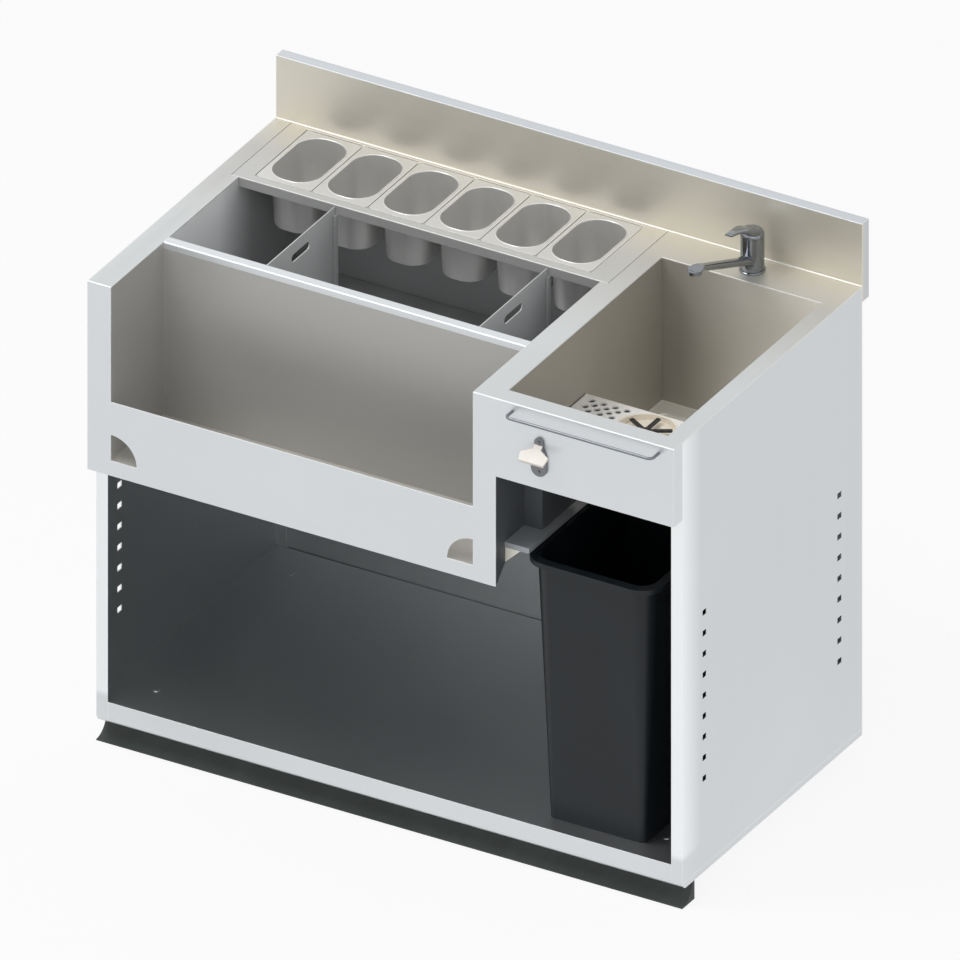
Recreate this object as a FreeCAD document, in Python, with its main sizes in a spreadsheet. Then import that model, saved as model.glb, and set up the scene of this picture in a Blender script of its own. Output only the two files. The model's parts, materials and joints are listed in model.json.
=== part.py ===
import FreeCAD, Part
import math
import os
import Sketcher

# Bar sink with ice bin: a counter-height stainless steel station, in millimetres.
# Every size below counts from the station's left front floor corner: X to the right, Y to the
# back, Z up. The finished model's origin lies on the floor under the middle of its outer box.

os.makedirs("parts", exist_ok=True)
doc = FreeCAD.newDocument("bar_sink_with_ice_bin")
sheet = doc.addObject("Spreadsheet::Sheet", "Sizes")

DRIVING_SIZES = [
    # the whole station
    ("deck_height", 900, "floor to the top of the deck"),
    ("deck_depth", 630, "front face to the upstand"),
    ("gauge", 2, "thickness of the deck, skin and cabinet sheets"),
    ("fold_round", 1.5, "outer round of the folded top edges"),
    ("upstand_thickness", 22, "thickness of the back upstand"),
    ("upstand_height", 120, "deck to the top of the upstand"),
    ("upstand_drop", 30, "how far the upstand reaches below the deck"),
    ("deck_cove", 3, "inner round between the deck and the upstand"),
    ("module_gap", 4, "module's side to the left wall of the sink"),
    ("right_margin", 32.4, "right wall of the sink to the station's right side"),
    # the front skin
    ("skirt_height", 363, "height of the deep skirt over the bottle well and ice bin"),
    ("sink_skirt_height", 150, "height of the skirt in front of the sink"),
    ("skirt_return", 30, "depth of the folded sides of the skin"),
    ("skirt_lip", 15, "depth of the folded lower edges"),
    # the bottle well
    ("well_left", 45, "left side of the bottle well"),
    ("well_overrun", 29, "last pan to the right side of the bottle well"),
    ("well_margin", 44, "right side of the bottle well to the module's side"),
    ("well_back", 176, "back wall of the bottle well"),
    ("well_depth", 334, "deck to the well's floor"),
    ("well_opening", 221, "height of the notch in the skirt in front of the well"),
    ("window_radius", 50, "radius of the quarter-round windows at the well's floor"),
    # the ice bin
    ("rim_depth", 21, "depth of the rim between the well and the bin"),
    ("rim_height", 12, "height of that rim"),
    ("bin_depth", 280, "deck to the bin's floor"),
    ("foam_side", 25, "insulation beside the bin"),
    ("foam_below", 27, "insulation under the bin"),
    ("foam_behind", 10, "insulation behind the bin"),
    ("foam_gap", 20, "insulation kept below the deck"),
    ("drain_bore", 16, "inner radius of the bin's drain tail"),
    ("drain_outer", 20, "outer radius of the bin's drain tail"),
    ("drain_thread", 18, "radius of the drain tail's threaded end"),
    ("drain_flange", 32, "radius of the drain's flange"),
    ("drain_drop", 70, "bin's floor to the end of the drain tail"),
    ("false_bottom_height", 25, "bin's floor to the top of the false bottom"),
    ("false_bottom_gap", 2, "clearance round the false bottom"),
    ("melt_hole_radius", 7, "radius of the false bottom's holes"),
    ("melt_hole_pitch", 86, "spacing of the false bottom's holes"),
    ("left_bay", 185, "left side of the bin to the left divider"),
    ("right_bay", 103, "right divider to the right side of the bin"),
    ("divider_top_gap", 4, "deck to the top of a divider"),
    ("divider_gap", 0.5, "clearance round a divider"),
    ("guide_width", 12, "width of a divider's guide channel"),
    ("guide_depth", 8, "depth of a guide channel"),
    ("guide_height", 180, "height of a guide channel"),
    # the pan frame and the six ninth-size pans
    ("frame_left", 31, "left edge of the pan frame"),
    ("frame_overrun", 43, "last pan to the right edge of the pan frame"),
    ("frame_rear", 9, "pans to the upstand"),
    ("frame_flange", 18, "height of the frame's front flange"),
    ("frame_bar", 18, "front edge of the frame to the pans"),
    ("pans_left", 66, "left edge of the first pan"),
    ("pan_pitch", 108, "width of one pan place"),
    ("pan_length", 176, "length of one pan"),
    ("pan_gap", 0.8, "clearance round a pan's flange"),
    ("pan_ledge", 7, "width of the ledge that the pans rest on"),
    ("ledge_weld", 5, "width of the ledge under the pan frame"),
    ("pan_gauge", 1.5, "thickness of a pan's sheet"),
    ("pan_depth", 100, "depth of a pan"),
    ("pan_side_flange", 9, "flange beside a pan's mouth"),
    ("pan_end_flange", 13, "flange before and behind a pan's mouth"),
    ("pan_corner", 40, "corner radius of a pan's mouth"),
    ("pan_taper", 5, "how far a pan's wall leans in from top to bottom"),
    # the sink
    ("sink_width", 306.6, "width of the sink"),
    ("sink_front", 37, "front wall of the sink"),
    ("tap_bank", 82, "back wall of the sink to the upstand"),
    ("sink_depth", 276, "deck to the floor of the deep basin"),
    ("shelf_back", 293, "back edge of the shallow shelf at the front of the sink"),
    ("shelf_depth", 147, "deck to the shallow shelf"),
    ("sump_margin", 18, "floor left round the pressed recess"),
    ("sump_back_margin", 37, "floor left behind the pressed recess"),
    ("sump_depth", 4, "depth of the pressed recess"),
    ("waste_bore", 20, "inner radius of the sink's waste tail"),
    ("waste_outer", 24, "outer radius of the sink's waste tail"),
    ("waste_flange", 42, "radius of the waste's flange"),
    ("waste_drop", 90, "sump to the end of the waste tail"),
    # the rinser tray
    ("tray_depth", 135, "deck to the top of the rinser tray"),
    ("tray_gap", 2, "clearance round the tray"),
    ("rinser_from_left", 149, "left wall of the sink to the centre of the rinser"),
    ("rinser_from_shelf", 59, "back edge of the shallow shelf to the centre of the rinser"),
    ("dish_radius", 57, "radius of the rinser's dish"),
    ("dish_depth", 10, "depth of the dish"),
    ("star_reach", 46, "length of an arm of the rinser's star"),
    ("star_turn", 30, "turn of the star's first arm from the right"),
    ("star_width", 7, "width of an arm"),
    ("star_thickness", 3.5, "thickness of an arm"),
    ("star_lift", 1.5, "top of the star above the tray"),
    ("star_stem", 5, "radius of the star's stem"),
    ("stem_clearance", 0.05, "running clearance of the stem, on the radius"),
    ("valve_radius", 12, "radius of the rinser's valve"),
    ("valve_length", 40, "length of the rinser's valve"),
    ("valve_gap", 0.3, "clearance round the valve in the shelf and the dish"),
    ("inlet_radius", 6, "radius of a water inlet tail"),
    ("tray_hole_radius", 4.8, "radius of the tray's drain holes"),
    ("tray_hole_pitch", 22.5, "spacing of the holes in a row"),
    ("tray_row_pitch", 10.7, "spacing of the rows"),
    ("tray_first_hole", 23, "left wall of the sink to the first hole"),
    # the towel rail and the bottle opener
    ("rail_inset", 28.5, "left wall of the sink to the left end of the towel rail"),
    ("rail_overrun", 3.4, "right wall of the sink to the right end of the towel rail"),
    ("rail_drop", 15, "deck to the towel rail"),
    ("rail_reach", 24, "skin to the middle of the towel rail"),
    ("rail_radius", 2.7, "radius of the towel rail's wire"),
    ("rail_bend", 9, "bend radius of the towel rail"),
    ("opener_from_left", 81, "left wall of the sink to the middle of the bottle opener"),
    ("opener_top", 50, "deck to the top of the opener"),
    ("opener_height", 74, "height of the opener's back plate"),
    ("opener_neck", 17, "width of the opener's upper tongue"),
    ("opener_lobe", 30, "width of the opener's lower lobe"),
    ("opener_plate", 4, "thickness of the opener's back plate"),
    ("opener_screw_bore", 2, "radius of a screw's shank in the opener"),
    ("opener_reach", 31, "how far the opener's hood stands out"),
    ("hood_drop", 13, "top of the opener to the root of its hood"),
    ("hood_fall", 21, "how far the hood slopes down to its lip"),
    ("hood_wall", 3.5, "thickness of the hood, measured upright"),
    ("hood_neck", 16, "width of the hood at its root"),
    ("hood_neck_reach", 10.5, "skin to the end of the hood's neck"),
    ("hood_width", 54, "width of the hood where it is widest"),
    ("hood_width_reach", 18.5, "skin to the hood's widest place"),
    ("hood_lip", 48, "width of the hood's lip"),
    # the cabinet
    ("stile_width", 22, "width of the cabinet's front stiles"),
    ("cabinet_front", 30, "front of the cabinet behind the skin's front"),
    ("floor_height", 79, "floor to the top of the cabinet's bottom"),
    ("rail_bottom", 48, "lower edge of the cabinet's front rail"),
    ("base_height", 36, "floor to the underside of the base frame"),
    ("base_bar", 90, "width of the base frame's bars"),
    ("base_setback", 1.5, "cabinet's front to the front of the base frame"),
    ("toe_height", 2, "thickness of the plinth's toe"),
    ("plinth_back", 70, "back face of the plinth"),
    ("plinth_front", 29, "toe of the plinth"),
    ("slot_width", 14, "width of a shelf slot"),
    ("slot_height", 11, "height of a shelf slot"),
    ("slot_pitch", 40, "spacing of the shelf slots"),
    ("slot_base", 216, "height of the lowest shelf slot"),
    ("slot_inset", 74, "cabinet's front to the first row of slots"),
    ("foot_inset_x", 73, "side of the station to a foot"),
    ("foot_inset_y", 74, "cabinet's front or back to a foot"),
    ("foot_radius", 22, "radius of a foot's pad"),
    ("foot_stem", 10, "radius of a foot's stem"),
    ("plug_radius", 6, "radius of the plug over a foot's bolt"),
    ("plug_height", 2, "height of that plug"),
    # the shelf and duct under the sink
    ("ledge_height", 609, "height of the ledge beside the bin"),
    ("ledge_width", 47, "width of the ledge"),
    ("ledge_thickness", 10, "thickness of the ledge"),
    ("ledge_length", 260, "length of the ledge"),
    ("duct_width", 35, "width of the service duct"),
    ("duct_start", 65, "front of the ledge to the duct"),
    ("gusset_size", 30, "legs of the ledge's gusset"),
    # the mixer tap, heights from the deck
    ("tap_from_left", 152, "left wall of the sink to the tap's axis"),
    ("tap_from_sink", 39, "back wall of the sink to the tap's axis"),
    ("tap_direction", 270, "direction of the spout and lever, counted from the right"),
    ("tap_flange", 22.3, "radius of the tap's foot"),
    ("tap_radius", 20.3, "radius of the tap's body"),
    ("tap_foot", 4, "height of the tap's foot"),
    ("pillar_radius", 14, "radius of the pillar that the body turns on"),
    ("pillar_height", 40, "top of that pillar"),
    ("pillar_clearance", 0.05, "running clearance of the pillar, on the radius"),
    ("turn_gap", 0.4, "gap between parts of the tap that turn"),
    ("body_top", 66.6, "top of the tap's body"),
    ("tap_hole", 17.5, "radius of the tap hole"),
    ("shank_radius", 16, "radius of the tap's shank"),
    ("shank_length", 45, "length of the shank under the deck"),
    ("nut_radius", 26, "radius of the tap's fixing nut"),
    ("nut_height", 10, "height of the fixing nut"),
    ("spout_reach", 198, "axis of the tap to the end of the spout"),
    ("spout_height", 18, "middle of the spout on the tap's axis"),
    ("spout_rise", 0.42, "rise of the spout for each millimetre forwards"),
    ("spout_width", 18, "width of the spout's slim stretch"),
    ("spout_depth", 12.5, "depth of the spout's slim stretch"),
    ("leaf_reach", 174, "axis of the tap to the start of the spout's flat leaf end"),
    ("outlet_reach", 192, "axis of the tap to the middle of the outlet"),
    ("outlet_radius", 12.3, "radius of the outlet"),
    ("outlet_length", 8, "leaf's top to the outlet's lower edge"),
    ("aerator_radius", 9, "radius of the aerator"),
    ("aerator_depth", 5, "depth of the aerator in the outlet"),
    ("cap_height", 13.5, "height of the lever's cap behind"),
    ("cap_round", 11.5, "round over the lever's cap"),
    ("cap_wall", 3, "wall of the lever's cap"),
    ("lever_reach", 80, "axis of the tap to the tip of the lever"),
    ("lever_tip_height", 106.5, "top of the lever's tip"),
    ("lever_tip_width", 14.5, "width of the lever's tip"),
    # the waste bin
    ("waste_bin_front", 31, "front of the bin's rim"),
    ("waste_bin_width", 256, "width of the bin over its rim"),
    ("waste_bin_length", 350, "length of the bin over its rim"),
    ("waste_bin_height", 507, "height of the bin"),
    ("waste_bin_rim", 14, "how far the rim stands out"),
    ("waste_bin_rim_height", 10, "height of the rim"),
    ("waste_bin_taper", 22, "how far the wall leans in from top to bottom"),
    ("waste_bin_corner", 32, "corner radius of the bin's mouth"),
    ("waste_bin_wall", 3, "wall of the bin"),
]


class Size:
    """A length together with the sheet expression that gives it."""

    def __init__(self, value, text):
        self.value = value
        self.text = text

    def __add__(self, other):
        other = as_size(other)
        return Size(self.value + other.value, f"({self.text} + {other.text})")

    def __radd__(self, other):
        return as_size(other) + self

    def __sub__(self, other):
        other = as_size(other)
        return Size(self.value - other.value, f"({self.text} - {other.text})")

    def __rsub__(self, other):
        return as_size(other) - self

    def __mul__(self, other):
        other = as_size(other)
        return Size(self.value * other.value, f"({self.text} * {other.text})")

    def __rmul__(self, other):
        return as_size(other) * self

    def __truediv__(self, other):
        other = as_size(other)
        return Size(self.value / other.value, f"({self.text} / {other.text})")

    def __neg__(self):
        return 0 - self


def as_size(number):
    if isinstance(number, Size):
        return number
    return Size(float(number), repr(float(number)))


class Driving:
    """The sheet's cells by name."""


D = Driving()
for row, (alias, number, note) in enumerate(DRIVING_SIZES, start=1):
    sheet.set(f"A{row}", alias)
    sheet.set(f"B{row}", str(number))
    sheet.setAlias(f"B{row}", alias)
    sheet.set(f"C{row}", note)
    setattr(D, alias, Size(float(number), f"Sizes.{alias}"))
doc.recompute()

# Places that several pieces share.
DECK_UNDER = D.deck_height - D.gauge
SKIRT_BOTTOM = D.deck_height - D.skirt_height
SINK_SKIRT_BOTTOM = D.deck_height - D.sink_skirt_height
WELL_FLOOR = D.deck_height - D.well_depth
WELL_LIP = D.deck_height - D.well_opening
RIM_BOTTOM = D.deck_height - D.rim_height
BIN_FRONT = D.well_back + D.rim_depth
BIN_FLOOR = D.deck_height - D.bin_depth
FOAM_BOTTOM = BIN_FLOOR - D.gauge - D.foam_below
FALSE_BOTTOM = BIN_FLOOR + D.false_bottom_height
BACK_SHEET = D.deck_depth - D.gauge

# From left to right: six pans set the module's width, and the sink follows it.
PAN_COUNT = 6
PANS_RIGHT = D.pans_left + PAN_COUNT * D.pan_pitch
WELL_RIGHT = PANS_RIGHT + D.well_overrun
FRAME_RIGHT = PANS_RIGHT + D.frame_overrun
MODULE_WIDTH = WELL_RIGHT + D.well_margin
MODULE_INNER = MODULE_WIDTH - D.gauge
SINK_LEFT = MODULE_WIDTH + D.module_gap
SINK_RIGHT = SINK_LEFT + D.sink_width
WIDTH = SINK_RIGHT + D.right_margin
DIVIDER_LEFT = D.well_left + D.left_bay
DIVIDER_RIGHT = WELL_RIGHT - D.right_bay
RAIL_LEFT = SINK_LEFT + D.rail_inset
RAIL_RIGHT = SINK_RIGHT + D.rail_overrun
OPENER_X = SINK_LEFT + D.opener_from_left
TAP_X = SINK_LEFT + D.tap_from_left
RINSER_X = SINK_LEFT + D.rinser_from_left
WASTE_X = (SINK_LEFT + SINK_RIGHT) / 2
DRAIN_X = (D.well_left + WELL_RIGHT) / 2

# From back to front: the pans keep their place off the upstand, the bin keeps room for its
# insulation before the cabinet's rear stiles, and the sink keeps the tap's bank behind it.
PANS_BACK = D.deck_depth - D.frame_rear
PANS_FRONT = PANS_BACK - D.pan_length
FRAME_FRONT = PANS_FRONT - D.frame_bar
REAR_STILE = BACK_SHEET - D.gauge
BIN_BACK = REAR_STILE - D.foam_behind - D.gauge
DRAIN_Y = (BIN_FRONT + BIN_BACK) / 2
SINK_BACK = D.deck_depth - D.tap_bank
TAP_Y = SINK_BACK + D.tap_from_sink
RINSER_Y = D.shelf_back - D.rinser_from_shelf
WASTE_Y = (D.shelf_back + SINK_BACK) / 2

# Levels of the sink.
SINK_FLOOR = D.deck_height - D.sink_depth
SUMP_FLOOR = SINK_FLOOR - D.sump_depth
SHELF_FLOOR = D.deck_height - D.shelf_depth
TRAY_TOP = D.deck_height - D.tray_depth

# The origin: the floor under the middle of the outer box.
ORIGIN_X = WIDTH / 2
ORIGIN_Y = (D.deck_depth + D.upstand_thickness - D.opener_reach) / 2

NODES = []
CUTS = []
PLANES = {"x": ("YZ_Plane", 1), "y": ("XZ_Plane", -1), "z": ("XY_Plane", 1)}


def bind(thing, name, size):
    """Sets a property from the sheet, or to a plain number."""
    size = as_size(size)
    thing.setExpression(name, size.text)


def vector(x, y):
    return FreeCAD.Vector(x.value, y.value, 0)


def tie(sketch, kind, where, size):
    """Adds a dimension to a sketch and binds it to the sheet."""
    index = sketch.addConstraint(Sketcher.Constraint(kind, *where, size.value))
    sketch.setExpression(f"Constraints[{index}]", size.text)


class Circle:
    def __init__(self, x, y, radius):
        self.x = as_size(x)
        self.y = as_size(y)
        self.radius = as_size(radius)

    def draw(self, sketch):
        normal = FreeCAD.Vector(0, 0, 1)
        geometry = Part.Circle(vector(self.x, self.y), normal, self.radius.value)
        index = sketch.addGeometry(geometry)
        tie(sketch, "DistanceX", (-1, 1, index, 3), self.x)
        tie(sketch, "DistanceY", (-1, 1, index, 3), self.y)
        tie(sketch, "Radius", (index,), self.radius)


class Loop:
    """A closed or open outline through corners.

    A corner is (x, y), or (x, y, radius) where the stretch to the next corner is an arc. A positive
    radius has its centre to the left of that stretch, a negative one to its right.
    """

    def __init__(self, corners, closed=True):
        self.corners = [tuple(as_size(part) for part in corner) for corner in corners]
        self.closed = closed

    def stretch(self, start, end):
        """The line or arc from a corner to the next, with its radius, and whether it runs forwards."""
        a = vector(start[0], start[1])
        b = vector(end[0], end[1])
        if len(start) == 2:
            return Part.LineSegment(a, b), None, True
        radius = abs(start[2].value)
        side = math.copysign(1, start[2].value)
        chord = b - a
        left = FreeCAD.Vector(-chord.y, chord.x, 0).normalize()
        rise = math.sqrt(max(radius ** 2 - (chord.Length / 2) ** 2, 0))
        centre = (a + b) * 0.5 + left * rise * side
        circle = Part.Circle(centre, FreeCAD.Vector(0, 0, 1), radius)
        ends = [math.atan2(point.y - centre.y, point.x - centre.x) for point in (a, b)]
        if side < 0:
            ends.reverse()
        arc = Part.ArcOfCircle(circle, ends[0], ends[1])
        return arc, Size(radius, f"abs({start[2].text})"), side > 0

    def draw(self, sketch):
        count = len(self.corners)
        last = count if self.closed else count - 1
        links = []
        for number in range(last):
            start = self.corners[number]
            end = self.corners[(number + 1) % count]
            geometry, radius, forward = self.stretch(start, end)
            index = sketch.addGeometry(geometry)
            links.append((index, 1 if forward else 2, 2 if forward else 1))
            tie(sketch, "DistanceX", (-1, 1, index, links[-1][1]), start[0])
            tie(sketch, "DistanceY", (-1, 1, index, links[-1][1]), start[1])
            if radius is not None:
                tie(sketch, "Radius", (index,), radius)
        for number in range(last if self.closed else last - 1):
            here = links[number]
            after = links[(number + 1) % last]
            join = Sketcher.Constraint("Coincident", here[0], here[2], after[0], after[1])
            sketch.addConstraint(join)
        if not self.closed:
            end = self.corners[-1]
            tie(sketch, "DistanceX", (-1, 1, links[-1][0], links[-1][2]), end[0])
            tie(sketch, "DistanceY", (-1, 1, links[-1][0], links[-1][2]), end[1])


def box(x0, y0, x1, y1):
    """A rectangle between two corners."""
    return Loop([(x0, y0), (x1, y0), (x1, y1), (x0, y1)])


def round_box(x0, y0, x1, y1, radius):
    """A rectangle with round corners."""
    r = radius
    return Loop([(x0 + r, y0), (x1 - r, y0, r), (x1, y0 + r), (x1, y1 - r, r),
                 (x1 - r, y1), (x0 + r, y1, r), (x0, y1 - r), (x0, y0 + r, r)])


def centred(width, length, radius, y=0):
    """A round-cornered rectangle about the middle of its sketch."""
    half = as_size(width) / 2
    deep = as_size(length) / 2
    return round_box(-half, y - deep, half, y + deep, as_size(radius))


def place(thing, x=0, y=0, z=0, angle=None):
    """Stands a piece at a point counted from the station's left front floor corner."""
    bind(thing, "Placement.Base.x", as_size(x) - ORIGIN_X)
    bind(thing, "Placement.Base.y", as_size(y) - ORIGIN_Y)
    bind(thing, "Placement.Base.z", as_size(z))
    if angle is not None:
        bind(thing, "Placement.Rotation.Angle", angle)


class Piece:
    """One sub-part, built up from sketches on its own origin planes."""

    def __init__(self, label, x=0, y=0, z=0, angle=None, node=True):
        self.label = label
        self.body = doc.addObject("PartDesign::Body", label)
        self.body.Label = label
        place(self.body, x, y, z, angle)
        if node:
            NODES.append(self.body)

    def origin(self, role):
        return [part for part in self.body.Origin.OriginFeatures if part.Role == role][0]

    def sketch(self, axis, at, loops):
        role, sign = PLANES[axis]
        sketch = self.body.newObject("Sketcher::SketchObject", self.label + "_sketch")
        sketch.AttachmentSupport = [(self.origin(role), "")]
        sketch.MapMode = "FlatFace"
        bind(sketch, "AttachmentOffset.Base.z", as_size(at) * sign)
        for loop in loops:
            loop.draw(sketch)
        sketch.Visibility = False
        return sketch

    def feature(self, kind, name):
        feature = self.body.newObject("PartDesign::" + kind, self.label + "_" + name)
        self.body.Tip = feature
        return feature

    def pad(self, axis, at, length, loops, lean=None):
        """Fills the outline from the plane at a height, towards the axis's far end."""
        profile = self.sketch(axis, at, loops)
        pad = self.feature("Pad", "pad")
        pad.Profile = profile
        bind(pad, "Length", length)
        pad.Reversed = axis == "y"
        if lean is not None:
            widen(pad, lean, length)
        return pad

    def pocket(self, axis, at, length, loops, lean=None):
        """Empties the outline over the same stretch that a pad would fill."""
        profile = self.sketch(axis, at, loops)
        before = self.body.Tip
        pocket = self.feature("Pocket", "pocket")
        pocket.Profile = profile
        bind(pocket, "Length", length)
        pocket.Reversed = axis != "y"
        if lean is not None:
            widen(pocket, lean, length)
        CUTS.append((before, pocket))
        return pocket

    def turn(self, corners):
        """Turns an outline of (radius, height) about the piece's own vertical axis."""
        profile = self.sketch("y", 0, [Loop(corners)])
        turned = self.feature("Revolution", "turn")
        turned.Profile = profile
        turned.ReferenceAxis = (profile, ["V_Axis"])
        turned.Angle = 360
        return turned

    def loft(self, axis, sections, cut=False, ruled=False):
        """Joins outlines at several heights, given as (height, outline)."""
        sketches = [self.sketch(axis, at, [outline]) for at, outline in sections]
        before = self.body.Tip
        loft = self.feature("SubtractiveLoft" if cut else "AdditiveLoft", "loft")
        loft.Profile = sketches[0]
        loft.Sections = sketches[1:]
        loft.Ruled = ruled
        if cut:
            CUTS.append((before, loft))
        return loft

    def soften(self, radius, test):
        """Rounds the edges of the piece so far that pass a test."""
        doc.recompute()
        base = self.body.Tip
        names = [f"Edge{number}" for number, edge in enumerate(base.Shape.Edges, start=1) if test(edge)]
        if not names:
            raise ValueError(self.label + ": no edge to round")
        fillet = self.feature("Fillet", "round")
        fillet.Base = (base, names)
        bind(fillet, "Radius", radius)
        return fillet


def widen(feature, lean, length):
    """Makes an outline grow by a lean on each side over its length."""
    feature.setExpression("TaperAngle", f"atan({as_size(lean).text} / {as_size(length).text})")


def lies(edge, **where):
    """True if an edge lies along the given coordinates of its piece."""
    bounds = edge.BoundBox
    for axis, size in where.items():
        low = getattr(bounds, axis.upper() + "Min")
        high = getattr(bounds, axis.upper() + "Max")
        if abs(low - as_size(size).value) > 0.01 or abs(high - as_size(size).value) > 0.01:
            return False
    return True


def group(label, members):
    """Several separate solids of one kind, as one node."""
    compound = doc.addObject("Part::Compound", label)
    compound.Label = label
    compound.Links = members
    NODES.append(compound)
    return compound


# ---------------------------------------------------------------- deck, skin and upstand

def front_panel():
    """The front skin: a deep skirt under the well, a shallow one under the sink."""
    piece = Piece("front_panel")
    left = D.well_left
    right = WELL_RIGHT
    outline = Loop([
        (0, SKIRT_BOTTOM), (MODULE_WIDTH, SKIRT_BOTTOM),
        (MODULE_WIDTH, SINK_SKIRT_BOTTOM), (WIDTH, SINK_SKIRT_BOTTOM),
        (WIDTH, D.deck_height), (right, D.deck_height),
        (right, WELL_LIP), (left, WELL_LIP),
        (left, D.deck_height), (0, D.deck_height),
    ])
    reach = D.window_radius
    left_window = Loop([(left, WELL_FLOOR), (left + reach, WELL_FLOOR, reach),
                        (left, WELL_FLOOR + reach)])
    right_window = Loop([(right, WELL_FLOOR), (right, WELL_FLOOR + reach, reach),
                         (right - reach, WELL_FLOOR)])
    piece.pad("y", 0, D.gauge, [outline, left_window, right_window])
    # folded sides, the left one cut back at its lower corner
    back = D.skirt_return
    piece.pad("x", 0, D.gauge, [Loop([
        (0, SKIRT_BOTTOM), (back, SKIRT_BOTTOM + back), (back, DECK_UNDER), (0, DECK_UNDER)])])
    piece.pad("x", WIDTH - D.gauge, D.gauge, [box(0, SINK_SKIRT_BOTTOM, back, DECK_UNDER)])
    # folded lower edges
    lip = D.skirt_lip
    piece.pad("z", SKIRT_BOTTOM, D.gauge, [box(0, 0, MODULE_INNER, lip)])
    piece.pad("z", SINK_SKIRT_BOTTOM, D.gauge, [box(MODULE_WIDTH, 0, WIDTH, lip)])
    piece.soften(D.fold_round, lambda edge: lies(edge, y=0, z=D.deck_height))


def left_deck():
    """The deck strip left of the well, the bin and the pans."""
    piece = Piece("left_deck")
    piece.pad("z", DECK_UNDER, D.gauge, [Loop([
        (0, D.gauge), (D.well_left, D.gauge), (D.well_left, FRAME_FRONT),
        (D.frame_left, FRAME_FRONT), (D.frame_left, D.deck_depth), (0, D.deck_depth)])])


def sink_deck():
    """The deck round the sink, with the cut-out for the basin and the tap's hole."""
    piece = Piece("sink_deck")
    outline = Loop([
        (WELL_RIGHT, D.gauge), (WIDTH, D.gauge), (WIDTH, D.deck_depth),
        (FRAME_RIGHT, D.deck_depth), (FRAME_RIGHT, FRAME_FRONT), (WELL_RIGHT, FRAME_FRONT)])
    basin = box(SINK_LEFT, D.sink_front, SINK_RIGHT, SINK_BACK)
    tap_hole = Circle(TAP_X, TAP_Y, D.tap_hole)
    piece.pad("z", DECK_UNDER, D.gauge, [outline, basin, tap_hole])
    top = D.deck_height
    piece.soften(D.fold_round, lambda edge: (
        lies(edge, z=top, y=D.sink_front) or lies(edge, z=top, y=SINK_BACK)
        or lies(edge, z=top, x=SINK_LEFT) or lies(edge, z=top, x=SINK_RIGHT)))


def backsplash():
    """The hollow folded upstand along the wall, closed at its ends, with a cove at its foot."""
    piece = Piece("backsplash")
    wall = D.gauge
    front = D.deck_depth
    back = front + D.upstand_thickness
    bottom = D.deck_height - D.upstand_drop
    top = D.deck_height + D.upstand_height
    piece.pad("x", 0, WIDTH, [box(front, bottom, back, top)])
    piece.soften(D.fold_round, lambda edge: lies(edge, y=front, z=top))
    piece.pocket("x", wall, WIDTH - 2 * wall, [box(front + wall, bottom, back - wall, top - wall)])
    cove = D.deck_cove
    piece.pad("x", 0, WIDTH, [Loop([
        (front - cove, D.deck_height), (front, D.deck_height), (front, D.deck_height + cove, -cove)])])


def module_side():
    """The sheet that closes the deep module towards the sink."""
    piece = Piece("module_side")
    back = D.skirt_return
    piece.pad("x", MODULE_INNER, D.gauge, [Loop([
        (D.gauge, SKIRT_BOTTOM + D.gauge), (back, SKIRT_BOTTOM + back),
        (REAR_STILE, SKIRT_BOTTOM + back), (REAR_STILE, DECK_UNDER),
        (D.gauge, DECK_UNDER)])])


# ---------------------------------------------------------------- bottle well and ice bin

def well_liner():
    """The tray of the bottle well, open to the front skin."""
    piece = Piece("well_liner")
    wall = D.gauge
    outer = box(D.well_left - wall, D.gauge, WELL_RIGHT + wall, D.well_back + wall)
    piece.pad("z", WELL_FLOOR - wall, D.well_depth, [outer])
    inner = box(D.well_left, D.gauge, WELL_RIGHT, D.well_back)
    piece.pocket("z", WELL_FLOOR, D.well_depth, [inner])
    # the back wall ends under the rim
    top = box(D.well_left, D.well_back, WELL_RIGHT, D.well_back + wall)
    piece.pocket("z", RIM_BOTTOM, D.rim_height, [top])


def bin_rim():
    """The round-edged rim between the bottle well and the ice bin."""
    piece = Piece("bin_rim")
    length = WELL_RIGHT - D.well_left
    piece.pad("x", D.well_left, length, [box(D.well_back, RIM_BOTTOM, BIN_FRONT, D.deck_height)])
    edge_round = D.rim_height / 4
    piece.soften(edge_round, lambda edge: lies(edge, z=D.deck_height) and edge.Length > 100)


def ice_liner():
    """The inner tank of the ice bin, with its drain hole."""
    piece = Piece("ice_liner")
    wall = D.gauge
    outer = box(D.well_left - wall, BIN_FRONT - wall, WELL_RIGHT + wall, BIN_BACK + wall)
    piece.pad("z", BIN_FLOOR - wall, DECK_UNDER - BIN_FLOOR + wall, [outer])
    inner = box(D.well_left, BIN_FRONT, WELL_RIGHT, BIN_BACK)
    piece.pocket("z", BIN_FLOOR, DECK_UNDER - BIN_FLOOR, [inner])
    # the front wall ends under the rim, the back wall under the ledge of the pans
    front = box(D.well_left, BIN_FRONT - wall, WELL_RIGHT, BIN_FRONT)
    piece.pocket("z", RIM_BOTTOM, D.rim_height, [front])
    back = box(D.well_left - wall, FRAME_FRONT + 2 * wall, WELL_RIGHT + wall, BIN_BACK + wall)
    piece.pocket("z", DECK_UNDER - wall, wall, [back])
    piece.pocket("z", BIN_FLOOR - wall, wall, [Circle(DRAIN_X, DRAIN_Y, D.drain_outer)])


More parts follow.
